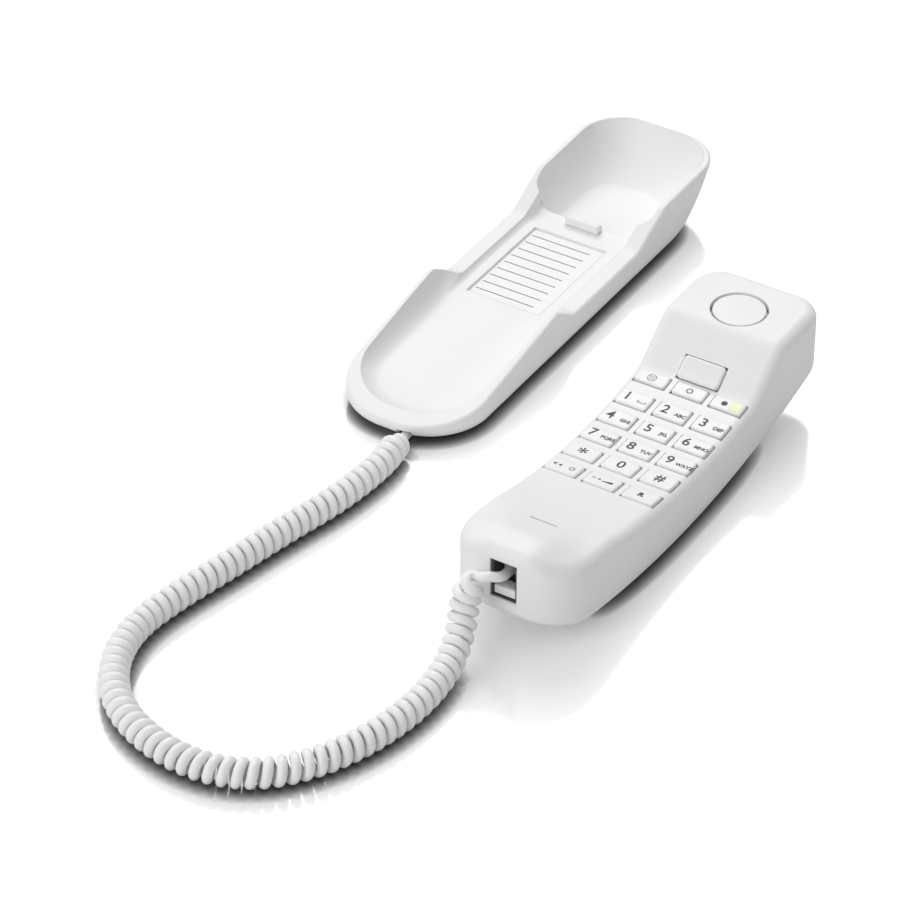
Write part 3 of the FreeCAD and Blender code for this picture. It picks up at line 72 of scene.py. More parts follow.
RIM_STEPS = 4
GRAIN_DETAIL = 3.0
CLOUD_SCALE = 40.0
CAP_ANGLE = math.radians(40.0)
CAP_WEIGHT = 50
WHITE = (1.0, 1.0, 1.0, 1.0)
Colour = tuple[float, float, float]


class FinishName(Enum):
    """The finishes of the phone, by what they are made of."""

    SHELL = "white_shell"
    KEY = "white_key"
    CORD = "cord_jacket"
    CARD = "card_paper"
    WINDOW = "clear_window"
    PLUG = "clear_plug"
    SOCKET = "socket_plastic"
    FOOT = "rubber_foot"
    MAT = "mat_rubber"
    SCREW = "screw_steel"
    BOARD = "circuit_board"
    BRASS = "brass_disc"
    LENS = "lens"
    LAMP = "lamp"
    BLACK = "black_plastic"
    CAN = "mic_can"
    INK = "key_ink"
    GREY_INK = "grey_ink"


def deselect() -> None:
    """Leave no object selected."""
    bpy.ops.object.select_all(action="DESELECT")


def select_only(*pieces: bpy.types.Object) -> None:
    """Select some pieces and make the first one active.

    Args:
        pieces: the pieces to select.
    """
    deselect()
    for piece in pieces:
        piece.select_set(True)
    bpy.context.view_layer.objects.active = pieces[0]


def settle(piece: bpy.types.Object, place: Matrix) -> bpy.types.Object:
    """Put a piece in its place and leave its origin at the world's origin.

    Args:
        piece: the piece, drawn around the origin.
        place: where it goes.

    Returns:
        The same piece.
    """
    piece.matrix_world = place
    select_only(piece)
    bpy.ops.object.transform_apply(location=True, rotation=True, scale=True)
    return piece


def joined(name: str, pieces: list[bpy.types.Object]) -> bpy.types.Object:
    """Join mesh pieces into one.

    Args:
        name: name of the joined piece.
        pieces: the pieces, which are used up.

    Returns:
        The joined piece.
    """
    select_only(*pieces)
    if len(pieces) > 1:
        bpy.ops.object.join()
    whole = bpy.context.view_layer.objects.active
    whole.name = name
    whole.data.name = name
    return whole


def paint(piece: bpy.types.Object, material: bpy.types.Material) -> None:
    """Give a piece one material all over.

    Args:
        piece: the piece.
        material: the material.
    """
    piece.data.materials.clear()
    piece.data.materials.append(material)


def ease(share: float) -> float:
    """Smooth step from 0 to 1.

    Args:
        share: how far along the step, which may lie beyond its ends.

    Returns:
        The eased share.
    """
    share = min(max(share, 0.0), 1.0)
    return share * share * (3.0 - 2.0 * share)


def even_shading(piece: bpy.types.Object, angle: float, weight: int) -> None:
    """Shade the active piece smooth, by angle and by the size of its faces.

    Args:
        piece: the active piece.
        angle: edges sharper than this stay sharp.
        weight: how much more the larger faces count.
    """
    bpy.ops.object.shade_smooth_by_angle(angle=angle)
    weighted = piece.modifiers.new("face_size", "WEIGHTED_NORMAL")
    weighted.keep_sharp = True
    weighted.weight = weight
    bpy.ops.object.modifier_apply(modifier=weighted.name)


def thicken(height: float) -> None:
    """Raise the flat piece in edit mode to a solid and leave edit mode.

    Args:
        height: how thick it becomes.
    """
    bpy.ops.mesh.select_all(action="SELECT")
    bpy.ops.mesh.extrude_region_move(TRANSFORM_OT_translate={"value": (0.0, 0.0, height)})
    bpy.ops.mesh.select_all(action="SELECT")
    bpy.ops.mesh.normals_make_consistent(inside=False)
    bpy.ops.object.mode_set(mode="OBJECT")


def round_over(
    piece: bpy.types.Object, chosen: Callable[[Vector, Vector], bool], width: float, steps: int
) -> None:
    """Round some edges of a piece.

    Args:
        piece: the piece.
        chosen: says from an edge's two ends whether it is rounded.
        width: how far the rounding reaches.
        steps: its steps.
    """
    select_only(piece)
    bpy.ops.object.mode_set(mode="EDIT")
    bpy.ops.mesh.select_mode(type="EDGE")
    bpy.ops.mesh.select_all(action="DESELECT")
    bpy.ops.object.mode_set(mode="OBJECT")
    spots = [vertex.co.copy() for vertex in piece.data.vertices]
    for line in piece.data.edges:
        line.select = chosen(spots[line.vertices[0]], spots[line.vertices[1]])
    bpy.ops.object.mode_set(mode="EDIT")
    bpy.ops.mesh.bevel(offset=width, segments=steps, affect="EDGES")
    bpy.ops.object.mode_set(mode="OBJECT")


def rounded_block(
    name: str, size: tuple[float, float, float], corner: float, edge: float
) -> bpy.types.Object:
    """A block with rounded corners and a rounded rim, its top at height zero.

    Args:
        name: its name.
        size: width, length and depth.
        corner: radius of its upright corners.
        edge: radius of its rim.

    Returns:
        The block.
    """
    deselect()
    bpy.ops.mesh.primitive_cube_add(size=1.0, location=(0.0, 0.0, -size[2] / 2))
    piece = bpy.context.object
    piece.name = name
    piece.data.name = name
    piece.scale = size
    bpy.ops.object.transform_apply(location=True, rotation=False, scale=True)
    round_over(piece, lambda a, b: abs(a.z - b.z) > TINY, corner, CORNER_STEPS)
    round_over(piece, lambda a, b: a.z > -TINY and b.z > -TINY, edge, RIM_STEPS)
    return piece


# Finishes


def maths(
    tree: bpy.types.NodeTree, operation: str, *terms: bpy.types.NodeSocket | float
) -> bpy.types.NodeSocket:
    """Add a math node.

    Args:
        tree: where it goes.
        operation: what it does.
        terms: sockets that feed it, or plain numbers.

    Returns:
        Its output.
    """
    node = tree.nodes.new("ShaderNodeMath")
    node.operation = operation
    for inlet, term in zip(node.inputs, terms):
        if isinstance(term, bpy.types.NodeSocket):
            tree.links.new(term, inlet)
        else:
            inlet.default_value = term
    return node.outputs["Value"]


def mixed(
    tree: bpy.types.NodeTree, first: Colour, second: Colour, factor: bpy.types.NodeSocket
) -> bpy.types.NodeSocket:
    """Add a node that mixes two colours.

    Args:
        tree: where it goes.
        first: the colour at factor 0.
        second: the colour at factor 1.
        factor: the socket of the factor.

    Returns:
        Its output.
    """
    node = tree.nodes.new("ShaderNodeMix")
    node.data_type = "RGBA"
    node.inputs["A"].default_value = (*first, 1.0)
    node.inputs["B"].default_value = (*second, 1.0)
    tree.links.new(factor, node.inputs["Factor"])
    return node.outputs["Result"]


def grain_group() -> bpy.types.NodeTree:
    """Fine grain of a moulded surface, shared by all moulded finishes.

    Returns:
        A group with the inputs Vector, Scale, Roughness and Spread, which puts out a roughness
        that wanders a little around its middle, the height of the grain and a cloudy tint.
    """
    group = bpy.data.node_groups.get("moulded_grain")
    if group:
        return group
    group = bpy.data.node_groups.new("moulded_grain", "ShaderNodeTree")
    face = group.interface
    face.new_socket("Vector", in_out="INPUT", socket_type="NodeSocketVector")
    for name in ("Scale", "Roughness", "Spread"):
        face.new_socket(name, in_out="INPUT", socket_type="NodeSocketFloat")
    for name in ("Roughness", "Height", "Tint"):
        face.new_socket(name, in_out="OUTPUT", socket_type="NodeSocketFloat")
    nodes, links = group.nodes, group.links
    inlet = nodes.new("NodeGroupInput")
    outlet = nodes.new("NodeGroupOutput")
    grain = nodes.new("ShaderNodeTexNoise")
    grain.inputs["Detail"].default_value = GRAIN_DETAIL
    cloud = nodes.new("ShaderNodeTexNoise")
    cloud.inputs["Scale"].default_value = CLOUD_SCALE
    links.new(inlet.outputs["Vector"], grain.inputs["Vector"])
    links.new(inlet.outputs["Scale"], grain.inputs["Scale"])
    links.new(inlet.outputs["Vector"], cloud.inputs["Vector"])
    centred = maths(group, "SUBTRACT", cloud.outputs["Fac"], 0.5)
    rough = maths(group, "MULTIPLY_ADD", centred, inlet.outputs["Spread"], inlet.outputs["Roughness"])
    links.new(rough, outlet.inputs["Roughness"])
    links.new(grain.outputs["Fac"], outlet.inputs["Height"])
    links.new(cloud.outputs["Fac"], outlet.inputs["Tint"])
    return group


def new_material(name: str) -> tuple[bpy.types.Material, bpy.types.ShaderNode]:
    """Start a material.

    Args:
        name: its name.

    Returns:
        The material and its principled shader.
    """
    material = bpy.data.materials.new(name)
    material.use_nodes = True
    return material, material.node_tree.nodes["Principled BSDF"]


def grained(
    material: bpy.types.Material, shader: bpy.types.ShaderNode,
    scale: float, roughness: float, spread: float,
) -> bpy.types.ShaderNode:
    """Give a material a roughness that wanders with the grain.

    Args:
        material: the material.
        shader: its shader.
        scale: scale of the grain.
        roughness: the middle roughness.
        spread: how far the roughness wanders.

    Returns:
        The node of the grain.
    """
    nodes, links = material.node_tree.nodes, material.node_tree.links
    place = nodes.new("ShaderNodeTexCoord")
    grain = nodes.new("ShaderNodeGroup")
    grain.node_tree = grain_group()
    for name, value in (("Scale", scale), ("Roughness", roughness), ("Spread", spread)):
        grain.inputs[name].default_value = value
    links.new(place.outputs["Object"], grain.inputs["Vector"])
    links.new(grain.outputs["Roughness"], shader.inputs["Roughness"])
    return grain


def bumped(
    material: bpy.types.Material, shader: bpy.types.ShaderNode, grain: bpy.types.ShaderNode,
    strength: float, depth: float,
) -> bpy.types.ShaderNode:
    """Let the height of the grain bend the light on a material.

    Args:
        material: the material.
        shader: its shader.
        grain: the node of its grain.
        strength: strength of the bump.
        depth: depth of the grain.

    Returns:
        The node of the bump.
    """
    links = material.node_tree.links
    bump = material.node_tree.nodes.new("ShaderNodeBump")
    bump.inputs["Strength"].default_value = strength
    bump.inputs["Distance"].default_value = depth
    links.new(grain.outputs["Height"], bump.inputs["Height"])
    links.new(bump.outputs["Normal"], shader.inputs["Normal"])
    return bump


@dataclass(frozen=True)
class Moulded:
    """A moulded surface with a fine grain and softened edges."""

    name: FinishName
    colour: Colour
    roughness: float
    spread: float = 0.10
    grain: float = 2600.0
    depth: float = 0.02 * MM
    bump: float = 0.25
    soft_edge: float = 0.0
    edge_samples: int = 8
    metallic: float = 0.0
    specular: float = 0.5
    shade: float = 0.955

    def build(self) -> bpy.types.Material:
        """Build the material.

        Returns:
            The finished material.
        """
        material, shader = new_material(self.name.value)
        nodes, links = material.node_tree.nodes, material.node_tree.links
        shader.inputs["Metallic"].default_value = self.metallic
        shader.inputs["Specular IOR Level"].default_value = self.specular
        grain = grained(material, shader, self.grain, self.roughness, self.spread)
        bump = bumped(material, shader, grain, self.bump, self.depth)
        red, green, blue = self.colour
        darker = (red * self.shade, green * self.shade, blue * self.shade)
        tint = mixed(material.node_tree, self.colour, darker, grain.outputs["Tint"])
        links.new(tint, shader.inputs["Base Color"])
        if self.soft_edge:
            edge = nodes.new("ShaderNodeBevel")
            edge.samples = self.edge_samples
            edge.inputs["Radius"].default_value = self.soft_edge
            links.new(edge.outputs["Normal"], bump.inputs["Normal"])
        return material


@dataclass(frozen=True)
class Clear:
    """A clear moulding or film, seen through by its alpha, with a faint haze."""

    name: FinishName
    colour: Colour
    alpha: float
    roughness: float = 0.12
    haze: float = 0.10
    haze_scale: float = 300.0

    def build(self) -> bpy.types.Material:
        """Build the material.

        Returns:
            The finished material.
        """
        material, shader = new_material(self.name.value)
        shader.inputs["Base Color"].default_value = (*self.colour, 1.0)
        shader.inputs["Alpha"].default_value = self.alpha
        grained(material, shader, self.haze_scale, self.roughness, self.haze)
        return material


@dataclass(frozen=True)
class RuledCard:
    """White card with printed lines for names, on the card's own place in the frame."""

    name: FinishName
    paper: Colour
    ink: Colour
    first_line: float
    line_pitch: float
    line_count: int
    line_half: float
    line_left: float
    line_right: float
    roughness: float = 0.6
    spread: float = 0.1
    fibre: float = 1500.0
    bump: float = 0.2
    depth: float = 0.03 * MM

    def build(self) -> bpy.types.Material:
        """Build the material: a mask from the distance to the nearest line and from the reach.

        Returns:
            The finished material.
        """
        material, shader = new_material(self.name.value)
        tree = material.node_tree
        place = tree.nodes.new("ShaderNodeTexCoord")
        split = tree.nodes.new("ShaderNodeSeparateXYZ")
        tree.links.new(place.outputs["Object"], split.inputs["Vector"])
        last_line = self.first_line - self.line_pitch * (self.line_count - 1)
        from_last = maths(tree, "SUBTRACT", split.outputs["Y"], last_line - self.line_pitch / 2)
        in_step = maths(tree, "MODULO", from_last, self.line_pitch)
        off_line = maths(tree, "ABSOLUTE", maths(tree, "SUBTRACT", in_step, self.line_pitch / 2))
        mask = maths(tree, "LESS_THAN", off_line, self.line_half)
        right_of = maths(tree, "GREATER_THAN", split.outputs["X"], self.line_left)
        left_of = maths(tree, "LESS_THAN", split.outputs["X"], self.line_right)
        above = maths(tree, "GREATER_THAN", from_last, 0.0)
        below = maths(tree, "LESS_THAN", from_last, self.line_pitch * self.line_count)
        for other in (right_of, left_of, above, below):
            mask = maths(tree, "MULTIPLY", mask, other)
        tree.links.new(mixed(tree, self.paper, self.ink, mask), shader.inputs["Base Color"])
        fibre = grained(material, shader, self.fibre, self.roughness, self.spread)
        bumped(material, shader, fibre, self.bump, self.depth)
        return material


@dataclass
class Finishes:
    """All finishes of the phone, built once."""

    built: dict[FinishName, bpy.types.Material] = field(default_factory=dict)

    def build(self) -> None:
        """Build every finish."""
        white = (0.88, 0.88, 0.88)
        recipes = [
            Moulded(FinishName.SHELL, white, 0.45, soft_edge=0.5 * MM, specular=0.35),
            Moulded(FinishName.KEY, (0.91, 0.91, 0.91), 0.42, specular=0.35),
            Moulded(FinishName.CORD, (0.90, 0.90, 0.90), 0.38, grain=1800.0),
            Moulded(FinishName.SOCKET, (0.05, 0.05, 0.05), 0.5),
            Moulded(FinishName.FOOT, (0.26, 0.26, 0.26), 0.75, grain=1400.0, depth=0.05 * MM),
            Moulded(FinishName.MAT, (0.48, 0.48, 0.48), 0.7, grain=1400.0, depth=0.05 * MM),
            Moulded(FinishName.SCREW, (0.48, 0.48, 0.49), 0.3, metallic=1.0),
            Moulded(FinishName.BOARD, (0.03, 0.13, 0.04), 0.4),
            Moulded(FinishName.BRASS, (0.66, 0.50, 0.20), 0.3, metallic=1.0),
            Moulded(FinishName.LENS, (0.80, 0.80, 0.42), 0.25),
            Moulded(FinishName.LAMP, (0.70, 0.08, 0.05), 0.2),
            Moulded(FinishName.BLACK, (0.012, 0.012, 0.012), 0.5),
            Moulded(FinishName.CAN, (0.62, 0.62, 0.62), 0.35, metallic=1.0),
            Moulded(FinishName.INK, (0.012, 0.012, 0.013), 0.5, depth=0.005 * MM),
            Moulded(FinishName.GREY_INK, (0.22, 0.22, 0.22), 0.5, depth=0.005 * MM),
            Clear(FinishName.WINDOW, (0.95, 0.95, 0.95), 0.06),
            Clear(FinishName.PLUG, (0.80, 0.80, 0.79), 0.55),
            RuledCard(
                FinishName.CARD, (0.95, 0.95, 0.95), (0.08, 0.08, 0.08), first_line=32.8 * MM,
                line_pitch=5.33 * MM, line_count=9, line_half=0.26 * MM,
                line_left=-15.0 * MM, line_right=11.4 * MM,
            ),
        ]
        for recipe in recipes:
            self.built[recipe.name] = recipe.build()
            LOG.info("finish %s", recipe.name.value)

    def of(self, name: FinishName) -> bpy.types.Material:
        """Look up a finish.

        Args:
            name: which finish.

        Returns:
            Its material.
        """
        return self.built[name]


# Construction


@dataclass
class Construction:
    """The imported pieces: their finishes, and smooth copies of the moulded shells."""

    nodes: dict[str, bpy.types.Object]
    slots: dict[str, str]
    bodies: dict[str, str]
    smooth_angle: float = math.radians(32.0)
    face_weight: int = 80
    merge_distance: float = 0.002 * MM
    foot_top: float = 6.5 * MM
    foot_low: float = 0.8 * MM
    foot_lean: float = 3.4 * MM
    foot_lift: float = 0.7 * MM
    foot_round: float = 0.95
    foot_cuts_mm: tuple[float, ...] = (1.1, 1.5, 2.0, 2.8, 3.6, 4.5, 5.5, 6.4)
    cradle_front: float = -69.5 * MM
    cradle_back: float = 70.0 * MM
    wall_zone: float = 24.0 * MM
    wall_blend: float = 3.0 * MM
    handset_middle: float = 100.0 * MM
    mouth_start: float = -140.0 * MM
    mouth_end: float = -178.0 * MM
    mouth_drop: float = 7.0 * MM
    mouth_low: float = 12.0 * MM
    mouth_high: float = 36.0 * MM
    mouth_keep: float = 7.0 * MM
    mouth_reach: float = 18.0 * MM
    mouth_cuts: int = 9
    mouth_margin: float = 20.0 * MM
    disc_share: float = 0.968

    def dress(self, finishes: Finishes) -> None:
        """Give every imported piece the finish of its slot.

        Args:
            finishes: the built finishes.
        """
        for name, piece in self.nodes.items():
            paint(piece, finishes.of(FinishName(self.slots[name])))
        LOG.info("%d packed pieces dressed", len(self.nodes))

    @staticmethod
    def cut(piece: bpy.types.Object, spot: Vector, across: Vector, behind: float | None = None) -> None:
        """Cut new edges into a piece along a plane.

        Args:
            piece: the piece.
            spot: a point of the plane.
            across: its normal.
            behind: only faces whose middle lies below this y are cut.
        """
        select_only(piece)
        bpy.ops.object.mode_set(mode="EDIT")
        bpy.ops.mesh.select_mode(type="FACE")
        bpy.ops.mesh.select_all(action="DESELECT")
        bpy.ops.object.mode_set(mode="OBJECT")
        for face in piece.data.polygons:
            face.select = behind is None or face.center.y < behind
        bpy.ops.object.mode_set(mode="EDIT")
        bpy.ops.mesh.bisect(plane_co=spot, plane_no=across)
        bpy.ops.object.mode_set(mode="OBJECT")

    def roll_foot(self, piece: bpy.types.Object) -> None:
        """Roll the lowest part of the cradle's wall inwards, as a moulding's foot does.

        Args:
            piece: the cradle's skin.
        """
        for height in self.foot_cuts_mm:
            self.cut(piece, Vector((0.0, 0.0, height * MM)), Vector((0.0, 0.0, 1.0)))
        for vertex in piece.data.vertices:
            if vertex.co.z >= self.foot_top:
                continue
            along = min(max(vertex.co.y, self.cradle_front), self.cradle_back)
            outward = Vector((vertex.co.x, vertex.co.y - along, 0.0))
            share = (self.foot_top - vertex.co.z) / (self.foot_top - self.foot_low)
            lean = self.foot_lean * (1.0 - math.sqrt(max(1.0 - self.foot_round * share * share, 0.0)))
            near_wall = ease((outward.length - self.wall_zone) / self.wall_blend)
            if near_wall > 0.0:
                vertex.co -= outward.normalized() * (lean * near_wall)
                vertex.co.z += self.foot_lift * share * near_wall

    def drop_mouth(self, piece: bpy.types.Object) -> None:
        """Let the corners of the handset's mouth end roll down on both sides of the jack.

        Args:
            piece: the skin of the handset's front.
        """
        step = (self.mouth_end - self.mouth_start) / self.mouth_cuts
        for index in range(self.mouth_cuts):
            spot = Vector((0.0, self.mouth_start + step * index, 0.0))
            self.cut(piece, spot, Vector((0.0, 1.0, 0.0)), self.mouth_start + self.mouth_margin)
        for side in (-1.0, 1.0):
            for index in range(self.mouth_cuts):
                off = self.mouth_keep + self.mouth_reach * index / self.mouth_cuts
                spot = Vector((self.handset_middle + side * off, 0.0, 0.0))
                self.cut(piece, spot, Vector((1.0, 0.0, 0.0)), self.mouth_start)
        for vertex in piece.data.vertices:
            drop = ease((self.mouth_start - vertex.co.y) / (self.mouth_start - self.mouth_end))
            drop *= ease((abs(vertex.co.x - self.handset_middle) - self.mouth_keep) / self.mouth_reach)
            high = (vertex.co.z - self.mouth_low) / (self.mouth_high - self.mouth_low)
            vertex.co.z -= self.mouth_drop * drop * min(max(high, 0.0), 1.0)

    def trim_disc(self, piece: bpy.types.Object) -> None:
        """Make the ear disc a little smaller, so that the ring gap round it shows.

        Args:
            piece: the ear disc's skin.
        """
        across = [vertex.co.x for vertex in piece.data.vertices]
        along = [vertex.co.y for vertex in piece.data.vertices]
        middle = Vector(((min(across) + max(across)) / 2, (min(along) + max(along)) / 2, 0.0))
        for vertex in piece.data.vertices:
            vertex.co.x = middle.x + (vertex.co.x - middle.x) * self.disc_share
            vertex.co.y = middle.y + (vertex.co.y - middle.y) * self.disc_share

    def smooth(self, name: str, shape: Callable[[bpy.types.Object], None] | None = None) -> None:
        """Stand a smooth copy in for a shell: merged, and shaded by angle and face size.

        Args:
            name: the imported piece.
            shape: what softens the copy's form, if anything does.
        """
        source = self.nodes[name]
        deselect()
        piece = source.copy()
        piece.data = source.data.copy()
        piece.parent = None
        piece.name = f"{name}_skin"
        bpy.context.scene.collection.objects.link(piece)
        for key in list(piece.keys()):
            del piece[key]
        select_only(piece)
        bpy.ops.object.mode_set(mode="EDIT")
        bpy.ops.mesh.select_all(action="SELECT")
        bpy.ops.mesh.remove_doubles(threshold=self.merge_distance)
        bpy.ops.object.mode_set(mode="OBJECT")
        bpy.ops.mesh.customdata_custom_splitnormals_clear()
        if shape:
            shape(piece)
            select_only(piece)
        even_shading(piece, self.smooth_angle, self.face_weight)
        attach(piece, self.bodies[name])
        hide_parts(name)
        LOG.info("smooth skin of %s", name)


# Keypad


class Shape(Enum):
    """Shapes of the drawn marks."""

    BAR = "bar"
    RING = "ring"
    WEDGE = "wedge"


@dataclass(frozen=True)
class Word:
    """A printed word around the middle of its key, in millimetres; weight makes its strokes bolder."""

    text: str
    x: float = 0.0
    y: float = 0.5
    size: float = 6.3
    weight: float = 0.10


@dataclass(frozen=True)
class Mark:
    """A drawn mark around the middle of its key, in millimetres and degrees.

    The reach and stroke of a bar are its length and width, those of a ring its outer radius and
    line, and those of a wedge, which stands on y, its length and height.
    """

    shape: Shape
    x: float
    y: float
    reach: float
    stroke: float
    turn: float = 0.0


@dataclass(frozen=True)
class Legend:
    """What is printed on one key."""

    key: str
    words: tuple[Word, ...] = ()
    marks: tuple[Mark, ...] = ()
    ink: FinishName = FinishName.INK


DIGIT_X = -3.0
LETTERS_X = 3.6
LETTERS_Y = -0.6


def dial_key(digit: str, letters: str) -> Legend:
    """Legend of a dial key: its digit on the left and small letters on the right.

    Args:
        digit: the digit.
        letters: the letters.

    Returns:
        The legend.
    """
    return Legend(digit, (Word(digit, x=DIGIT_X), Word(letters, x=LETTERS_X, y=LETTERS_Y, size=2.4)))


GRILLE = (
    Mark(Shape.RING, 0.0, 0.0, 1.9, 0.3),
    *(Mark(Shape.BAR, 0.0, line, 2.6, 0.3) for line in (-0.8, 0.0, 0.8)),
)
CUP = (
    Mark(Shape.BAR, 3.4, -1.1, 3.4, 0.35),
    *(Mark(Shape.BAR, side, -0.6, 0.35, 1.2) for side in (1.8, 5.0)),
)
ARROWS_AND_RING = (
    Mark(Shape.RING, 3.2, 0.0, 1.15, 0.35),
    *(Mark(Shape.BAR, x, 0.32 * side, 1.5, 0.5, 32.0 * side) for x in (-3.8, -1.6) for side in (1.0, -1.0)),
)
MINUS_PLUS_WEDGE = (
    Mark(Shape.WEDGE, 2.0, -0.8, 4.2, 1.5),
    Mark(Shape.BAR, -3.6, 0.0, 1.5, 0.4),
    Mark(Shape.BAR, -1.4, 0.0, 1.3, 0.4),
    Mark(Shape.BAR, -1.4, 0.0, 0.4, 1.3),
)
RING = (Mark(Shape.RING, 0.0, 0.0, 1.35, 0.45),)
DOT = (Mark(Shape.RING, -1.4, 0.0, 1.2, 1.2),)
DIAL = (
    (Legend("1", (Word("1", x=DIGIT_X),), CUP), dial_key("2", "ABC"), dial_key("3", "DEF")),
    (dial_key("4", "GHI"), dial_key("5", "JKL"), dial_key("6", "MNO")),
    (dial_key("7", "PQRS"), dial_key("8", "TUV"), dial_key("9", "WXYZ")),
    (Legend("star", (Word("*", size=8.505),)), Legend("0", (Word("0"),)), Legend("hash", (Word("#"),))),
)
ABOVE_DIAL = (
    Legend("mute", marks=GRILLE, ink=FinishName.GREY_INK),
    Legend("store", marks=RING),
    Legend("message", marks=DOT),
)
BELOW_DIAL = (
    Legend("redial", marks=ARROWS_AND_RING),
    Legend("volume", marks=MINUS_PLUS_WEDGE),
    Legend("recall", (Word("R", y=0.0, size=3.4, weight=0.20),)),
)


@dataclass
class Keypad:
    """Printed signs of the keys, each tilted to the slope of its key's top."""

    finishes: Finishes
    handset: Vector = field(default_factory=lambda: Vector((100.0, -79.0, 0.0)) * MM)
    face_height: float = 23.5 * MM
    face_radius: float = 230.0 * MM
    key_proud: float = 0.9 * MM
    column_pitch: float = 16.0 * MM
    top_row: float = 33.2 * MM
    first_row: float = 20.2 * MM
    row_pitch: float = 12.6 * MM
    bottom_row: float = -30.4 * MM
    ink_depth: float = 0.04 * MM
    type_steps: int = 5
    ring_corners: int = 40
    bar_end_share: float = 0.2
    bar_end_steps: int = 2
    wedge_low_share: float = 0.3

    def rows(self) -> list[tuple[float, tuple[Legend, ...]]]:
        """Rows of keys, with their place along the handset.

        Returns:
            The rows of the dial, then the rows above and below it.
        """
        dial = [(self.first_row - self.row_pitch * index, row) for index, row in enumerate(DIAL)]
        return [*dial, (self.top_row, ABOVE_DIAL), (self.bottom_row, BELOW_DIAL)]

    def top_of_key(self, column: int, along: float) -> Matrix:
        """Place on top of a key, with the slope of the face there.

        Args:
            column: column of the key, from 0 on the left.
            along: place of the key's middle along the handset.

        Returns:
            The matrix that takes a flat drawing to the top of that key.
        """
        radius = self.face_radius - self.key_proud
        height = self.face_height + self.face_radius - math.sqrt(radius ** 2 - along ** 2)
        tilt = math.asin(along / radius)
        spot = self.handset + Vector((self.column_pitch * (column - 1), along, height))
        return Matrix.Translation(spot) @ Matrix.Rotation(tilt, 4, "X")

    def printed(self, word: Word) -> bpy.types.Object:
        """Print a word as a thin mesh, centred on its point of the key.

        Args:
            word: the word.

        Returns:
            The mesh, around the middle of its key.
        """
        deselect()
        bpy.ops.object.text_add(location=(0.0, 0.0, 0.0))
        letters = bpy.context.object.data
        letters.body = word.text
        letters.size = word.size * MM
        letters.offset = word.weight * MM
        letters.extrude = self.ink_depth
        letters.resolution_u = self.type_steps
        bpy.ops.object.convert(target="MESH")
        piece = bpy.context.object
        corners = [Vector(corner) for corner in piece.bound_box]
        middle = (min(c.x for c in corners) + max(c.x for c in corners)) / 2
        height = (min(c.y for c in corners) + max(c.y for c in corners)) / 2
        return settle(piece, Matrix.Translation((word.x * MM - middle, word.y * MM - height, 0.0)))

    def bar(self, mark: Mark) -> bpy.types.Object:
        """A printed bar with rounded ends.

        Args:
            mark: its place and size.

        Returns:
            The mesh, around the middle of its key.
        """
        bpy.ops.mesh.primitive_cube_add(size=1.0)
        bar = bpy.context.object
        bar.scale = (mark.reach * MM, mark.stroke * MM, self.ink_depth * 2)
        bpy.ops.object.transform_apply(location=False, rotation=False, scale=True)
        rounding = bar.modifiers.new("ends", "BEVEL")
        rounding.width = min(mark.reach, mark.stroke) * MM * self.bar_end_share
        rounding.segments = self.bar_end_steps
        rounding.limit_method = "ANGLE"
        bpy.ops.object.modifier_apply(modifier=rounding.name)
        turned = Matrix.Rotation(math.radians(mark.turn), 4, "Z")
        return settle(bar, Matrix.Translation((mark.x * MM, mark.y * MM, 0.0)) @ turned)

    def ring(self, mark: Mark) -> bpy.types.Object:
        """A printed ring, or a dot where the stroke fills it.

        Args:
            mark: its place and size.

        Returns:
            The mesh, around the middle of its key.
        """
        bpy.ops.mesh.primitive_circle_add(
            vertices=self.ring_corners, radius=mark.reach * MM, fill_type="NGON"
        )
        ring = bpy.context.object
        bpy.ops.object.mode_set(mode="EDIT")
        bpy.ops.mesh.select_all(action="SELECT")
        if mark.stroke < mark.reach:
            bpy.ops.mesh.inset(thickness=mark.stroke * MM, depth=0.0)
            bpy.ops.mesh.delete(type="FACE")
        thicken(self.ink_depth)
        return settle(ring, Matrix.Translation((mark.x * MM, mark.y * MM, 0.0)))

    def wedge(self, mark: Mark) -> bpy.types.Object:
        """A printed wedge that grows to the right.

        Args:
            mark: its place and size.

        Returns:
            The mesh, around the middle of its key.
        """
        bpy.ops.mesh.primitive_plane_add(size=1.0)
        wedge = bpy.context.object
        height = mark.stroke * MM
        wedge.scale = (mark.reach * MM, height, 1.0)
        bpy.ops.object.transform_apply(location=False, rotation=False, scale=True)
        for vertex in wedge.data.vertices:
            if vertex.co.x < 0.0 < vertex.co.y:
                vertex.co.y = -height * self.wedge_low_share
        bpy.ops.object.mode_set(mode="EDIT")
        thicken(self.ink_depth)
        return settle(wedge, Matrix.Translation((mark.x * MM, mark.y * MM + height / 2, 0.0)))

    def print_key(self, legend: Legend, place: Matrix) -> None:
        """Print one key, and let what is printed ride with it.

        Args:
            legend: what is printed.
            place: the top of the key.
        """
        draw = {Shape.BAR: self.bar, Shape.RING: self.ring, Shape.WEDGE: self.wedge}
        pieces = [self.printed(word) for word in legend.words]
        for mark in legend.marks:
            deselect()
            pieces.append(draw[mark.shape](mark))
        inked = settle(joined(f"legend_{legend.key}", pieces), place)
        paint(inked, self.finishes.of(legend.ink))
        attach(inked, f"key_{legend.key}")
        LOG.info("legend of key %s", legend.key)

    def build(self) -> None:
        """Print all keys."""
        for along, row in self.rows():
            for column, legend in enumerate(row):
                self.print_key(legend, self.top_of_key(column, along))


# Lip of the handset's jack


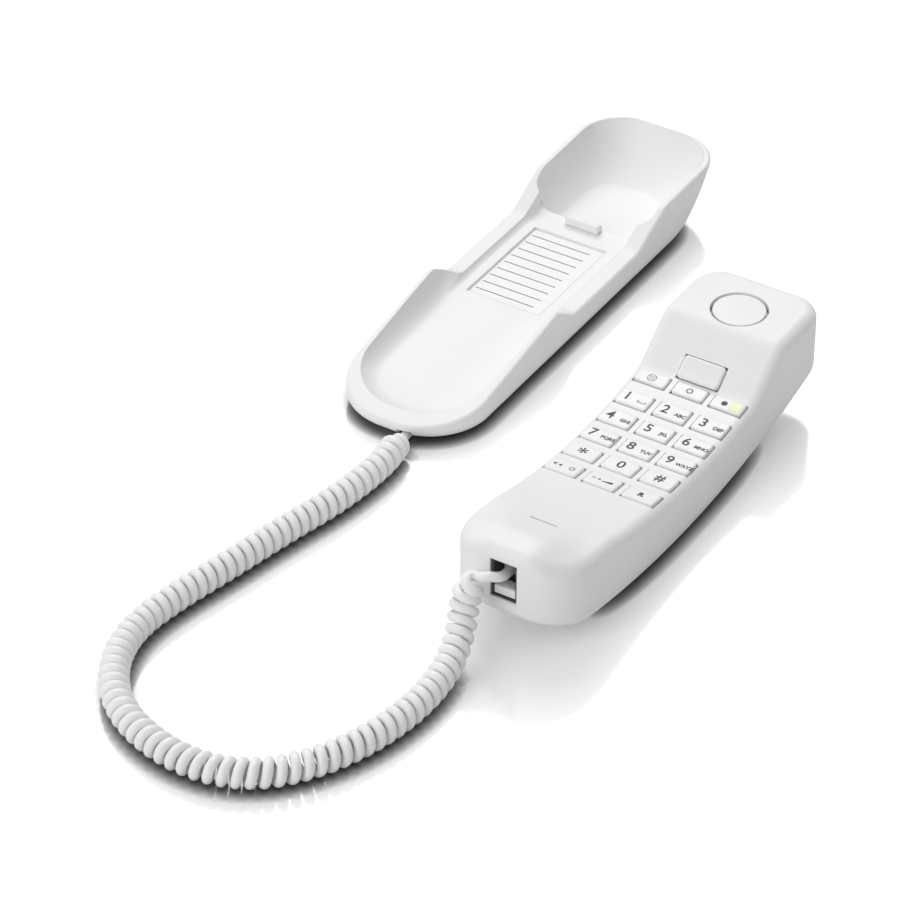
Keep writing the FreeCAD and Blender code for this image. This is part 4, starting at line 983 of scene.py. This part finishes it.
@dataclass
class JackLip:
    """The white lip across the lower part of the handset's cord jack."""

    finishes: Finishes
    size: tuple[float, float, float] = (8.8 * MM, 5.0 * MM, 3.4 * MM)
    top: Vector = field(default_factory=lambda: Vector((100.0, -174.4, 23.0)) * MM)
    corner: float = 0.5 * MM
    edge: float = 0.6 * MM

    def build(self) -> None:
        """Build the lip and let it ride with the handset."""
        lip = rounded_block("jack_lip", self.size, self.corner, self.edge)
        settle(lip, Matrix.Translation(self.top))
        bpy.ops.object.shade_smooth_by_angle(angle=CAP_ANGLE)
        paint(lip, self.finishes.of(FinishName.SHELL))
        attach(lip, "handset")
        LOG.info("lip of the handset's jack")


# Key caps


@dataclass
class KeyCaps:
    """Rounded caps of the keys and of the hook button, and the lens of the message key."""

    finishes: Finishes
    keypad: Keypad
    nodes: dict[str, bpy.types.Object]
    bodies: dict[str, str]
    slots: dict[str, str]
    width: float = 13.0 * MM
    length: float = 7.8 * MM
    top_length: float = 6.0 * MM
    depth: float = 4.0 * MM
    corner: float = 1.15 * MM
    edge: float = 0.7 * MM
    lens_size: tuple[float, float, float] = (4.8 * MM, 4.6 * MM, 1.2 * MM)
    lens_corner: float = 1.1 * MM
    lens_edge: float = 0.4 * MM
    lens_x: float = 3.3 * MM
    lens_proud: float = 0.12 * MM
    button_size: tuple[float, float, float] = (17.3 * MM, 9.4 * MM, 3.6 * MM)
    button_corner: float = 1.6 * MM
    button_edge: float = 1.0 * MM
    button_fold: float = -1.4 * MM
    button_rise: float = 0.22
    facing_up: float = 0.3
    facing_alike: float = 0.999

    def finish(self, piece: bpy.types.Object, place: Matrix, node: str) -> None:
        """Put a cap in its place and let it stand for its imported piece.

        Args:
            piece: the cap.
            place: where it goes.
            node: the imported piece.
        """
        settle(piece, place)
        even_shading(piece, CAP_ANGLE, CAP_WEIGHT)
        paint(piece, self.finishes.of(FinishName(self.slots[node])))
        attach(piece, self.bodies[node])
        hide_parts(node)
        LOG.info("cap of %s", node)

    def build_keys(self) -> None:
        """Caps of all keys."""
        for along, row in self.keypad.rows():
            length = self.top_length if along == self.keypad.top_row else self.length
            for column, legend in enumerate(row):
                size = (self.width, length, self.depth)
                cap = rounded_block(f"cap_{legend.key}", size, self.corner, self.edge)
                self.finish(cap, self.keypad.top_of_key(column, along), f"key_{legend.key}")

    def build_lens(self) -> None:
        """The pale lens in the message key."""
        lens = rounded_block("lens", self.lens_size, self.lens_corner, self.lens_edge)
        place = self.keypad.top_of_key(2, self.keypad.top_row)
        self.finish(lens, place @ Matrix.Translation((self.lens_x, 0.0, self.lens_proud)), "message_lens")

    def button_top(self) -> Matrix:
        """Place of the hook button's top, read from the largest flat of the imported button.

        Returns:
            The matrix that takes a flat drawing to that top.
        """
        mesh = self.nodes["hook_button"].data
        upper = [face for face in mesh.polygons if face.normal.z > self.facing_up]
        largest = max(upper, key=lambda face: face.area)
        up = largest.normal.copy()
        right = Vector((1.0, 0.0, 0.0))
        along = up.cross(right)
        flat = [face for face in mesh.polygons if face.normal.dot(up) > self.facing_alike]
        spots = [mesh.vertices[index].co for face in flat for index in face.vertices]
        middle = Vector((0.0, 0.0, 0.0))
        for axis in (right, along):
            reach = [spot.dot(axis) for spot in spots]
            middle += axis * ((min(reach) + max(reach)) / 2)
        middle += up * max(spot.dot(up) for spot in spots)
        turned = Matrix((right, along, up)).transposed().to_4x4()
        return Matrix.Translation(middle) @ turned

    def build_button(self) -> None:
        """The hook button, whose lower third turns up a little."""
        button = rounded_block("button_cap", self.button_size, self.button_corner, self.button_edge)
        Construction.cut(button, Vector((0.0, self.button_fold, 0.0)), Vector((0.0, 1.0, 0.0)))
        for vertex in button.data.vertices:
            if vertex.co.z > -self.button_size[2] / 2:
                vertex.co.z += max(self.button_fold - vertex.co.y, 0.0) * self.button_rise
        self.finish(button, self.button_top(), "hook_button")

    def build(self) -> None:
        """Build all caps."""
        self.build_keys()
        self.build_lens()
        self.build_button()


# Curly cord


@dataclass
class CurlyCord:
    """The curly cord: one wire, wound in curls along a route on the table, given in millimetres."""

    finishes: Finishes
    route: tuple[tuple[float, float, float], ...] = (
        (8.0, -41.0, 4.65), (8.0, -48.0, 4.65), (8.0, -57.0, 3.0), (8.0, -70.0, 2.5), (8.0, -88.0, 2.5),
        (8.0, -99.0, 2.6), (11.0, -109.5, 5.9), (12.6, -121.0, 6.0), (10.5, -146.0, 6.0),
        (4.0, -172.0, 6.0), (-1.5, -200.0, 6.0), (-7.5, -226.0, 6.0), (-9.8, -248.0, 6.0),
        (-3.5, -268.0, 6.0), (11.0, -284.5, 6.0), (32.0, -293.5, 6.0), (54.0, -295.0, 6.0),
        (72.0, -287.5, 6.0), (84.5, -272.0, 6.0), (93.0, -252.0, 6.0), (97.0, -230.0, 6.0),
        (96.5, -212.0, 6.6), (94.6, -200.5, 9.6), (92.2, -192.5, 15.0), (90.6, -188.0, 22.0),
        (91.6, -185.6, 28.0), (95.6, -183.6, 31.0), (99.4, -180.6, 29.8), (100.0, -176.5, 28.4),
        (100.0, -171.0, 28.4),
    )
    diameter: float = 3.75 * MM
    curl_radius: float = 3.75 * MM
    curl_pitch: float = 4.6 * MM
    curls_start: float = 60.0 * MM
    curls_stop: float = 14.0 * MM
    curl_lead: float = 8.0 * MM
    least_height: float = 2.0 * MM
    lead_rate: float = 0.24 / MM
    step: float = 0.05 * MM
    tail_step: float = 1.0 * MM
    points_per_turn: int = 22
    route_steps: int = 24
    wire_steps: int = 5

    def axis(self) -> list[Vector]:
        """Middle line of the route, read from a smooth spline.

        Returns:
            Points along the route.
        """
        curve = bpy.data.curves.new("route", "CURVE")
        curve.dimensions = "3D"
        curve.resolution_u = self.route_steps
        spline = curve.splines.new("NURBS")
        spline.points.add(len(self.route) - 1)
        for point, spot in zip(spline.points, self.route):
            point.co = (*(value * MM for value in spot), 1.0)
        spline.order_u = 3
        spline.use_endpoint_u = True
        guide = bpy.data.objects.new("route", curve)
        bpy.context.scene.collection.objects.link(guide)
        bpy.context.view_layer.update()
        mesh = bpy.data.meshes.new_from_object(guide)
        points = [vertex.co.copy() for vertex in mesh.vertices]
        bpy.data.objects.remove(guide)
        bpy.data.curves.remove(curve)
        bpy.data.meshes.remove(mesh)
        return points

    def wire(self) -> list[Vector]:
        """Middle line of the wire: plain tails, and curls that grow out of them.

        Returns:
            Points along the wire.
        """
        axis = self.axis()
        starts = [0.0]
        for before, after in zip(axis, axis[1:]):
            starts.append(starts[-1] + (after - before).length)
        total = starts[-1]
        last = total - self.curls_stop
        points: list[Vector] = []
        full_rate = 2.0 * math.pi / self.curl_pitch
        turn_step = 2.0 * math.pi / self.points_per_turn
        distance, angle, due, next_tail, index = 0.0, 0.0, 0.0, 0.0, 0
        while distance < total:
            while starts[index + 1] < distance and index < len(axis) - 2:
                index += 1
            run = axis[index + 1] - axis[index]
            heading = run.normalized()
            centre = axis[index] + heading * (distance - starts[index])
            share = ease((distance - self.curls_start) / self.curl_lead)
            share *= ease((last - distance) / self.curl_lead)
            up = (Vector((0.0, 0.0, 1.0)) - heading * heading.z).normalized()
            across = heading.cross(up)
            radius = self.curl_radius * share
            if angle >= due or distance >= next_tail:
                spot = centre + up * (radius * math.sin(angle)) + across * (radius * math.cos(angle))
                spot.z = max(spot.z, self.least_height)
                points.append(spot)
                due = angle + turn_step
                next_tail = distance + self.tail_step
            if self.curls_start < distance < last:
                angle += (self.lead_rate + (full_rate - self.lead_rate) * share * share) * self.step
            distance += self.step
        points.append(axis[-1].copy())
        return points

    def build(self) -> None:
        """Sweep the wire along its route, from the cradle to the handset's jack."""
        points = self.wire()
        curve = bpy.data.curves.new("curly_cord_wire", "CURVE")
        curve.dimensions = "3D"
        spline = curve.splines.new("POLY")
        spline.points.add(len(points) - 1)
        for point, spot in zip(spline.points, points):
            point.co = (*spot, 1.0)
        spline.use_smooth = True
        curve.bevel_depth = self.diameter / 2
        curve.bevel_resolution = self.wire_steps
        curve.use_fill_caps = True
        cord = bpy.data.objects.new("cord", curve)
        bpy.context.scene.collection.objects.link(cord)
        select_only(cord)
        bpy.ops.object.convert(target="MESH")
        cord = bpy.context.object
        paint(cord, self.finishes.of(FinishName.CORD))
        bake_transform(cord)
        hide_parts("curly_cord")


# Studio


@dataclass(frozen=True)
class Lamp:
    """A far lamp with a broad disc: its direction, its watts per square metre and its disc's degrees."""

    name: str
    towards: tuple[float, float, float]
    strength: float
    softness: float


@dataclass
class Studio:
    """Floor, lamps, world and camera."""

    azimuth: float = math.radians(32.0)
    elevation: float = math.radians(36.8)
    distance: float = 1.5
    target: Vector = field(default_factory=lambda: Vector((25.16, -93.07, 0.0)) * MM)
    lens: float = 160.8
    sensor: float = 36.0
    far_clip: float = 20.0
    lamps: tuple[Lamp, ...] = (
        Lamp("key_lamp", (-0.55, 0.8, 1.05), 1.15, 34.0),
        Lamp("fill_lamp", (-0.3, -0.85, 0.42), 1.05, 46.0),
    )
    dome_low: float = 0.12
    dome_rise: float = 0.62
    floor_size: float = 12.0
    floor_roughness: float = 0.12
    floor_specular: float = 0.9
    floor_glow: float = 0.12
    floor_pale: float = 0.94
    # painted shade on the floor where things touch it: its darkest tone, how far it reaches and how steeply
    # it fades
    painted_shade_darkest: float = 0.08
    painted_shade_reach: float = 5.5 * MM
    painted_shade_power: float = 3.2

    def build_floor(self) -> None:
        """Pale floor that keeps the shadows and shows white to the camera, with painted shade: ambient
        occlusion darkens its colour and its glow where things touch it or stand close.
        """
        deselect()
        bpy.ops.mesh.primitive_plane_add(size=self.floor_size, location=(0.0, 0.0, 0.0))
        floor = bpy.context.object
        floor.name = "floor"
        material, shader = new_material("pale_floor")
        tree = material.node_tree
        shader.inputs["Roughness"].default_value = self.floor_roughness
        shader.inputs["Specular IOR Level"].default_value = self.floor_specular
        shader.inputs["Emission Color"].default_value = WHITE
        # painted shade: ambient occlusion darkens the floor's colour near what touches or stands on it
        painted_contact_shade = tree.nodes.new("ShaderNodeAmbientOcclusion")
        painted_contact_shade.inputs["Distance"].default_value = self.painted_shade_reach
        depth = maths(tree, "POWER", painted_contact_shade.outputs["AO"], self.painted_shade_power)
        floor_tone_with_painted_shade = maths(tree, "MULTIPLY_ADD", depth, self.floor_pale - self.painted_shade_darkest, self.painted_shade_darkest)
        tree.links.new(floor_tone_with_painted_shade, shader.inputs["Base Color"])
        path = tree.nodes.new("ShaderNodeLightPath")
        glow = maths(tree, "MULTIPLY", path.outputs["Is Camera Ray"], self.floor_glow)
        # painted shade: the camera glow is darkened by the same occlusion
        tree.links.new(maths(tree, "MULTIPLY", glow, depth), shader.inputs["Emission Strength"])
        paint(floor, material)

    def sun(self, lamp: Lamp) -> None:
        """Hang a lamp.

        Args:
            lamp: the lamp.
        """
        light = bpy.data.lights.new(lamp.name, "SUN")
        light.energy = lamp.strength
        light.angle = math.radians(lamp.softness)
        sun = bpy.data.objects.new(lamp.name, light)
        bpy.context.scene.collection.objects.link(sun)
        towards = Vector(lamp.towards)
        sun.location = self.target + towards.normalized() * self.distance
        sun.rotation_euler = (-towards).to_track_quat("-Z", "Y").to_euler()

    def build_lights(self) -> None:
        """Soft light from behind on the left, another from the front, and a dome brightest overhead."""
        for lamp in self.lamps:
            self.sun(lamp)
        world = bpy.data.worlds.new("studio")
        bpy.context.scene.world = world
        world.use_nodes = True
        tree = world.node_tree
        sky = tree.nodes["Background"]
        sky.inputs["Color"].default_value = WHITE
        towards = tree.nodes.new("ShaderNodeTexCoord")
        height = tree.nodes.new("ShaderNodeSeparateXYZ")
        path = tree.nodes.new("ShaderNodeLightPath")
        tree.links.new(towards.outputs["Generated"], height.inputs["Vector"])
        strength = maths(tree, "MULTIPLY_ADD", height.outputs["Z"], self.dome_rise, self.dome_low)
        for ray in ("Is Camera Ray", "Is Glossy Ray", "Is Transmission Ray"):
            strength = maths(tree, "MAXIMUM", strength, path.outputs[ray])
        tree.links.new(strength, sky.inputs["Strength"])

    def build_camera(self) -> None:
        """Camera at the viewing angle of the picture."""
        back = Vector((
            math.sin(self.azimuth) * math.cos(self.elevation),
            -math.cos(self.azimuth) * math.cos(self.elevation),
            math.sin(self.elevation),
        ))
        lens = bpy.data.cameras.new("camera")
        lens.lens = self.lens
        lens.sensor_width = self.sensor
        lens.clip_end = self.far_clip
        camera = bpy.data.objects.new("camera", lens)
        bpy.context.scene.collection.objects.link(camera)
        camera.location = self.target + back * self.distance
        camera.rotation_euler = (math.pi / 2 - self.elevation, 0.0, self.azimuth)
        bpy.context.scene.camera = camera

    def build(self) -> None:
        """Build the whole studio."""
        bpy.context.scene.view_settings.view_transform = "Standard"
        self.build_floor()
        self.build_lights()
        self.build_camera()
        LOG.info("studio")


def main() -> None:
    """Load the construction, dress it and build the studio around it."""
    logging.basicConfig(level=logging.INFO, format="%(name)s: %(message)s")
    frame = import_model()
    record = frame["record"]
    finishes = Finishes()
    finishes.build()
    slots = {part["node"]: part["material_slot"] for part in record["subparts"]}
    bodies = {node: body for body, nodes in record["behaviour"]["bodies"].items() for node in nodes}
    construction = Construction(frame["nodes"], slots, bodies)
    construction.dress(finishes)
    construction.smooth("cradle_shell", construction.roll_foot)
    construction.smooth("handset_front", construction.drop_mouth)
    construction.smooth("handset_back")
    construction.smooth("earpiece_disc", construction.trim_disc)
    keypad = Keypad(finishes)
    KeyCaps(finishes, keypad, frame["nodes"], bodies, slots).build()
    keypad.build()
    JackLip(finishes).build()
    CurlyCord(finishes).build()
    Studio().build()


if __name__ == "__main__":
    main()
